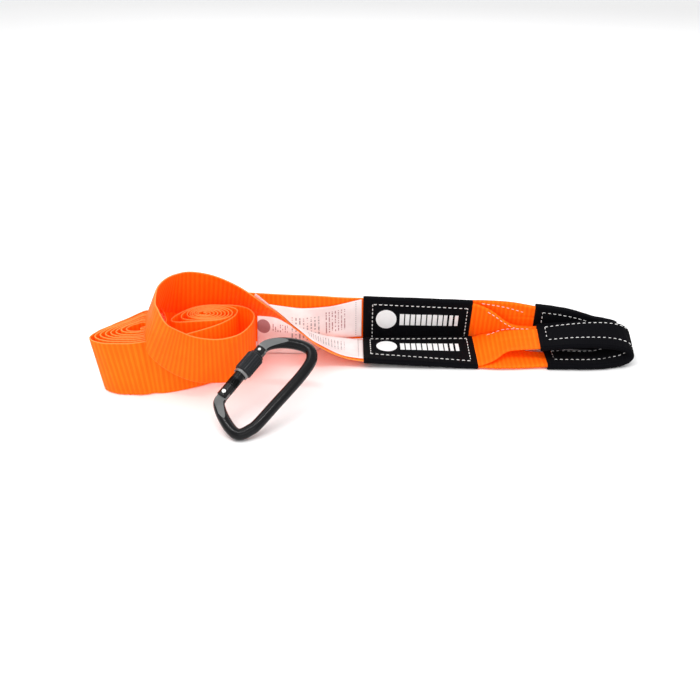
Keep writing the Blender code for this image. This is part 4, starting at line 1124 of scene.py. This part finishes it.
def webbing_material(name, deep, bright, edge):
    """Ribbed orange weave with painted shade between the ribs and a painted highlight along both edges. A
    faint glow paints light into its shaded side.
    """
    graph = Graph(name)
    along, across = graph.strap()
    rib = sine(graph, along, RIB_PITCH, math.pi / 2)
    yarn = graph.times(sine(graph, across, 0.95), sine(graph, along, 1.4))
    twill = sine(graph, graph.plus(across, graph.times(along, 0.8)), 1.25)
    cloudy = graph.noise(38.0, 4.0)
    fine = graph.noise(900.0, 2.0)
    # Rib crowns are painted lighter and the grooves between them darker, as painted shade of the ribs; the
    # cloudy part is random tone.
    share = graph.plus(graph.times(rib, 0.4), graph.times(cloudy, 0.55))
    share = graph.plus(share, graph.times(graph.math("SUBTRACT", yarn, 0.25), 0.25))
    colour = graph.mix(graph.span(share, 0.25, 0.95), deep, bright)
    far = graph.math("ABSOLUTE", across)
    # A lighter band along both edges is a painted highlight, standing in for light on the rolls' upper
    # edges. The next line mixes the same pale colour in as random flecks.
    colour = graph.mix(graph.span(far, 24.2, 24.8, 0.0, 0.9), colour, edge)
    colour = graph.mix(graph.span(fine, 0.66, 0.85, 0.0, 0.35), colour, edge)
    height = graph.plus(graph.times(yarn, 0.6), graph.times(twill, 0.3))
    height = graph.plus(height, graph.times(fine, 0.3))
    graph.bump(height, 0.35, 0.00022)
    roughness = graph.plus(graph.times(cloudy, 0.16), 0.56)
    # The faint red-orange emission is painted light: a glow that lifts the web's shaded side.
    return graph.set(Base_Color=colour, Roughness=roughness, Sheen_Weight=0.04, Sheen_Roughness=0.4,
                     Sheen_Tint=(1.0, 0.5, 0.2, 1.0), Specular_IOR_Level=0.10,
                     Emission_Color=(1.0, 0.085, 0.0, 1.0), Emission_Strength=0.13)


def cloth_material(name, dark, light, lint, weave, roughness):
    """Coarse plain-woven cloth."""
    graph = Graph(name)
    along, across = graph.strap()
    first = sine(graph, along, weave)
    second = sine(graph, across, weave, math.pi / 2)
    check = graph.times(sine(graph, along, 2 * weave), sine(graph, across, 2 * weave))
    thread = graph.plus(graph.times(first, second), graph.times(check, 0.5))
    cloudy = graph.noise(55.0, 4.0)
    fuzz = graph.noise(1400.0, 2.0)
    share = graph.plus(graph.times(thread, 0.45), graph.times(cloudy, 0.4))
    colour = graph.mix(graph.span(share, 0.2, 0.9), dark, light)
    colour = graph.mix(graph.span(fuzz, 0.66, 0.82, 0.0, 0.3), colour, lint)
    graph.bump(graph.plus(thread, graph.times(fuzz, 0.4)), 0.5, 0.00028)
    rough = graph.plus(graph.times(cloudy, 0.2), roughness)
    return graph.set(Base_Color=colour, Roughness=rough, Sheen_Weight=0.012, Sheen_Roughness=0.5,
                     Specular_IOR_Level=0.05)


def thread_material(name, shade, light):
    """Twisted thread, or thick print."""
    graph = Graph(name)
    where = graph.add("TexCoord").outputs["Object"]
    wave = graph.add("TexWave", {"bands_direction": "DIAGONAL"}, Scale=900.0, Distortion=1.5, Vector=where)
    cloudy = graph.noise(120.0, 3.0, where)
    share = graph.plus(graph.times(wave.outputs[1], 0.5), graph.times(cloudy, 0.5))
    graph.bump(wave.outputs[1], 0.6, 0.0001)
    roughness = graph.plus(graph.times(cloudy, 0.2), 0.5)
    return graph.set(Base_Color=graph.mix(share, shade, light), Roughness=roughness, Sheen_Weight=0.15)


def print_mask(graph, along, across, block, pitch, seed):
    """Broken lines like a block of small print, inside block = (along from, to, across from, to)."""
    line = graph.math("FRACT", graph.math("DIVIDE", along, pitch))
    line = graph.span(graph.math("ABSOLUTE", graph.math("SUBTRACT", line, 0.5)), 0.14, 0.24, 1.0, 0.0)
    row = graph.math("FLOOR", graph.math("DIVIDE", along, pitch))
    spot = graph.add("CombineXYZ", None, i0=graph.times(across, 0.75),
                     i1=graph.times(row, 3.7), i2=seed).outputs[0]
    words = graph.span(graph.noise(1.0, 1.0, spot), 0.44, 0.50)
    inside = line_window(graph, along, block[0], block[1])
    inside = graph.times(inside, line_window(graph, across, block[2], block[3]))
    return graph.times(graph.times(line, words), inside)


def line_window(graph, value, low, high):
    """1 between low and high, 0 outside them, with soft edges."""
    return graph.times(graph.span(value, low - 0.3, low + 0.3),
                       graph.span(value, high - 0.3, high + 0.3, 1.0, 0.0))


def tape_material(name, blocks, mark):
    """Satin tape with faint small print and, given (along, across, radius), a plain disc."""
    graph = Graph(name)
    along, across = graph.strap()
    weave = graph.times(sine(graph, along, 0.5), sine(graph, across, 0.42))
    cloudy = graph.noise(45.0, 3.0)
    # The near-white tape is tinted pink here as painted light, the orange web's bounce on it; the cloudy
    # mix between the two is random tone.
    colour = graph.mix(graph.span(cloudy, 0.3, 0.75), (0.80, 0.68, 0.67, 1), (0.90, 0.84, 0.83, 1))
    for seed, (block, pitch, ink) in enumerate(blocks):
        mask = print_mask(graph, along, across, block, pitch, seed * 5.3 + 1.0)
        colour = graph.mix(graph.times(mask, 0.8), colour, ink)
    if mark:
        dx = graph.math("SUBTRACT", along, mark[0])
        dy = graph.math("SUBTRACT", across, mark[1])
        distance = graph.math("SQRT", graph.plus(graph.times(dx, dx), graph.times(dy, dy)))
        disc_mask = graph.span(distance, mark[2] - 0.2, mark[2] + 0.2, 0.85, 0.0)
        colour = graph.mix(disc_mask, colour, (0.23, 0.015, 0.02, 1))
    graph.bump(graph.plus(weave, graph.times(cloudy, 0.6)), 0.3, 0.00012)
    roughness = graph.plus(graph.times(cloudy, 0.2), 0.42)
    # The faint pink emission is painted light, a glow standing in for the web's bounce light.
    return graph.set(Base_Color=colour, Roughness=roughness, Sheen_Weight=0.05, Specular_IOR_Level=0.3,
                     Emission_Color=(1.0, 0.62, 0.60, 1.0), Emission_Strength=0.06)


def metal_material(name, dark, light, roughness, metallic, scratch, worn, shine=0.5):
    """Turned or anodised metal with fine scratches, cloudy roughness and worn edges."""
    graph = Graph(name)
    where = graph.add("TexCoord").outputs["Object"]
    cloudy = graph.noise(90.0, 4.0, where)
    stretched = graph.add("Mapping", None, Vector=where, Scale=(220.0, 2600.0, 900.0)).outputs[0]
    scratches = graph.noise(1.0, 2.0, stretched)
    grain = graph.noise(2600.0, 2.0, where)
    edge = graph.span(graph.add("NewGeometry").outputs["Pointiness"], 0.54, 0.60)
    wear = graph.times(edge, graph.span(cloudy, 0.35, 0.7, 0.2, 1.0))
    colour = graph.mix(cloudy, dark, light)
    colour = graph.mix(graph.times(wear, 0.7), colour, worn)
    scored = graph.span(scratches, 0.60, 0.75)
    rough = graph.plus(graph.times(cloudy, 0.10), roughness)
    rough = graph.plus(rough, graph.times(scored, 0.12))
    height = graph.plus(graph.times(scored, -0.5), graph.times(grain, 0.4))
    graph.bump(height, scratch, 0.00006)
    return graph.set(Base_Color=colour, Roughness=rough, Metallic=metallic, Specular_IOR_Level=shine)


def floor_material():
    graph = Graph("studio_floor")
    cloudy = graph.noise(0.8, 2.0)
    colour = graph.mix(cloudy, (0.93, 0.93, 0.93, 1), (0.96, 0.96, 0.965, 1))
    return graph.set(Base_Color=colour, Roughness=0.6, Specular_IOR_Level=0.1)


# ---------------------------------------------------------------- studio

def aim(item, location, target):
    item.location = location
    item.rotation_euler = (Vector(target) - Vector(location)).to_track_quat("-Z", "Y").to_euler()


def softbox(name, location, target, size, power):
    light = bpy.data.lights.new(name, "AREA")
    light.shape = "RECTANGLE"
    light.size, light.size_y = size
    light.energy = power
    item = placed(name, light)
    aim(item, location, target)
    return item


def make_studio():
    mesh = bpy.data.meshes.new("studio_floor")
    corners = box_outline(-FLOOR_REACH, FLOOR_REACH, -FLOOR_REACH, FLOOR_REACH)
    mesh.from_pydata([(x, y, FLOOR) for x, y in corners], [], [(0, 1, 2, 3)])
    mesh.materials.append(floor_material())
    floor = placed("studio_floor", mesh)
    lights = [softbox(*light) for light in LIGHTS]
    world = bpy.data.worlds.new("studio")
    world.use_nodes = True
    background = world.node_tree.nodes["Background"]
    background.inputs["Color"].default_value = (1.0, 1.0, 1.0, 1.0)
    background.inputs["Strength"].default_value = WORLD_STRENGTH
    bpy.context.scene.world = world
    lens = bpy.data.cameras.new("camera")
    lens.lens = CAMERA_LENS
    camera = placed("camera", lens)
    aim(camera, CAMERA_FROM, CAMERA_AT)
    bpy.context.scene.camera = camera
    bpy.context.scene.view_settings.view_transform = "Standard"


# ---------------------------------------------------------------- build

def cad_materials(materials):
    """The small CAD pieces that stay visible get detailed metal."""
    for name, material in materials.items():
        data = bpy.data.objects[name].data
        data.materials.clear()
        data.materials.append(material)


def make_materials():
    return {
        # The web's colours: a deep orange for painted shade in the rib grooves, a brighter orange for
        # painted light on the rib crowns, both mixed with random tone, and a pale colour that is the
        # painted edge highlight and random flecks.
        "web": webbing_material("orange_webbing", (1.0, 0.125, 0.001, 1), (1.0, 0.205, 0.006, 1),
                                (1.0, 0.29, 0.07, 1)),
        "cover": cloth_material("black_cover_cloth", (0.0015, 0.0015, 0.0025, 1),
                                (0.0055, 0.0055, 0.0075, 1), (0.022, 0.022, 0.028, 1), 1.1, 0.72),
        "thread": thread_material("white_thread", (0.70, 0.69, 0.67, 1), (0.95, 0.94, 0.92, 1)),
        "ink": thread_material("white_print", (0.93, 0.93, 0.93, 1), (1.0, 1.0, 1.0, 1)),
        "grey_thread": thread_material("grey_thread", (0.20, 0.18, 0.18, 1), (0.34, 0.30, 0.30, 1)),
        "black": metal_material("black_anodised", (0.002, 0.002, 0.0025, 1), (0.006, 0.006, 0.007, 1),
                                0.10, 0.0, 0.15, (0.04, 0.04, 0.04, 1), 0.2),
        "machined": metal_material("milled_grey", (0.085, 0.09, 0.09, 1), (0.15, 0.155, 0.155, 1),
                                   0.45, 0.3, 0.4, (0.35, 0.35, 0.35, 1), 0.3),
        "barrel": metal_material("dark_grey_anodised", (0.010, 0.011, 0.013, 1),
                                 (0.022, 0.024, 0.027, 1), 0.34, 0.0, 0.4, (0.08, 0.08, 0.085, 1), 0.12),
        "ring": metal_material("ring_steel", (0.10, 0.10, 0.10, 1), (0.17, 0.17, 0.17, 1),
                               0.34, 0.6, 0.4, (0.35, 0.35, 0.35, 1)),
        "steel": metal_material("turned_steel", (0.50, 0.50, 0.49, 1), (0.72, 0.72, 0.70, 1),
                                0.24, 1.0, 0.4, (0.85, 0.85, 0.84, 1)),
    }


def carried(body, *pieces):
    """Each piece of the (piece, slot) pairs rides on a body; the slot is not used."""
    for item, slot in pieces:
        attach(item, body)


def add_webbing(materials):
    webbing, strap = make_webbing(materials["web"])
    carried("strap", (webbing, "webbing"))
    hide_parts("web_front_run", "right_roll", "web_link_band", "left_roll", "web_back_run")
    return strap


def add_patches(materials):
    for side, rows, seam, face in (("front", FRONT_PATCH, FRONT_SEAM, FRONT_PATCH_FACE),
                                   ("back", BACK_PATCH, BACK_SEAM, BACK_PATCH_FACE)):
        patch, sewing, marks = make_patch(side + "_patch", rows, seam, face, materials["cover"],
                                          materials["thread"], materials["ink"])
        carried("strap", (patch, "cover_fabric"), (sewing, "thread"), (marks, "thread"))
        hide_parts(side + "_wrap_patch")
        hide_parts(side + "_patch_seam")


def add_eyes(materials):
    thread = materials["thread"]
    for side, rows, starts in (("front", FRONT_EYE, FRONT_SLEEVE_FROM),
                               ("back", BACK_EYE, BACK_SLEEVE_FROM)):
        eye, band = make_eye_web(side + "_eye_fold", rows, materials["web"])
        sleeve, sewing = make_sleeve(side + "_sleeve", band, starts, materials["cover"], thread)
        lines = []
        for along, across, lift in EYE_STITCHES[side]:
            start = 0.0 if along[0] > 0 else band.length
            lines.append(line_on(band, start + np.linspace(*along, 60), np.linspace(*across, 60), lift))
        eye_sewing = stitches(side + "_eye_stitches", lines, thread, *EYE_STITCH_SIZE)
        carried("strap", (eye, "webbing"), (sleeve, "cover_fabric"), (sewing, "thread"),
                (eye_sewing, "thread"))
        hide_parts(side + "_eye_web")
        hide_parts(side + "_eye_sleeve")


def add_tapes(materials, strap):
    thread = materials["grey_thread"]
    front_band = front_tape_route(strap)
    front_print = tape_material("front_label", FRONT_PRINT, None)
    back_print = tape_material("back_label", BACK_PRINT, BACK_DISC)
    for node, (tape, sewing) in (
        ("front_label_tape", make_front_tape("front_label", front_band, front_print, thread)),
        ("back_label_tape", make_back_tape("back_label", back_print, thread)),
    ):
        carried("strap", (tape, "label_tape"), (sewing, "thread"))
        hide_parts(node)


def add_carabiner(materials):
    black, machined = materials["black"], materials["machined"]
    for item, body, slot, node in (
        (make_body(black, machined), "carabiner", "black_alloy", "carabiner_body"),
        (make_gate(black, machined), "gate", "black_alloy", "gate"),
        (make_lock_sleeve(materials["barrel"]), "lock_sleeve", "grey_alloy", "lock_sleeve"),
    ):
        carried(body, (item, slot))
        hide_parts(node)
    steel = materials["steel"]
    cad_materials({name: steel for name in ("gate_rivet", "latch_pin", "spring_plunger", "gate_spring")})
    cad_materials({"sleeve_ring": materials["ring"]})


def build():
    materials = make_materials()
    strap = add_webbing(materials)
    add_patches(materials)
    add_eyes(materials)
    add_tapes(materials, strap)
    add_carabiner(materials)
    make_studio()


build()
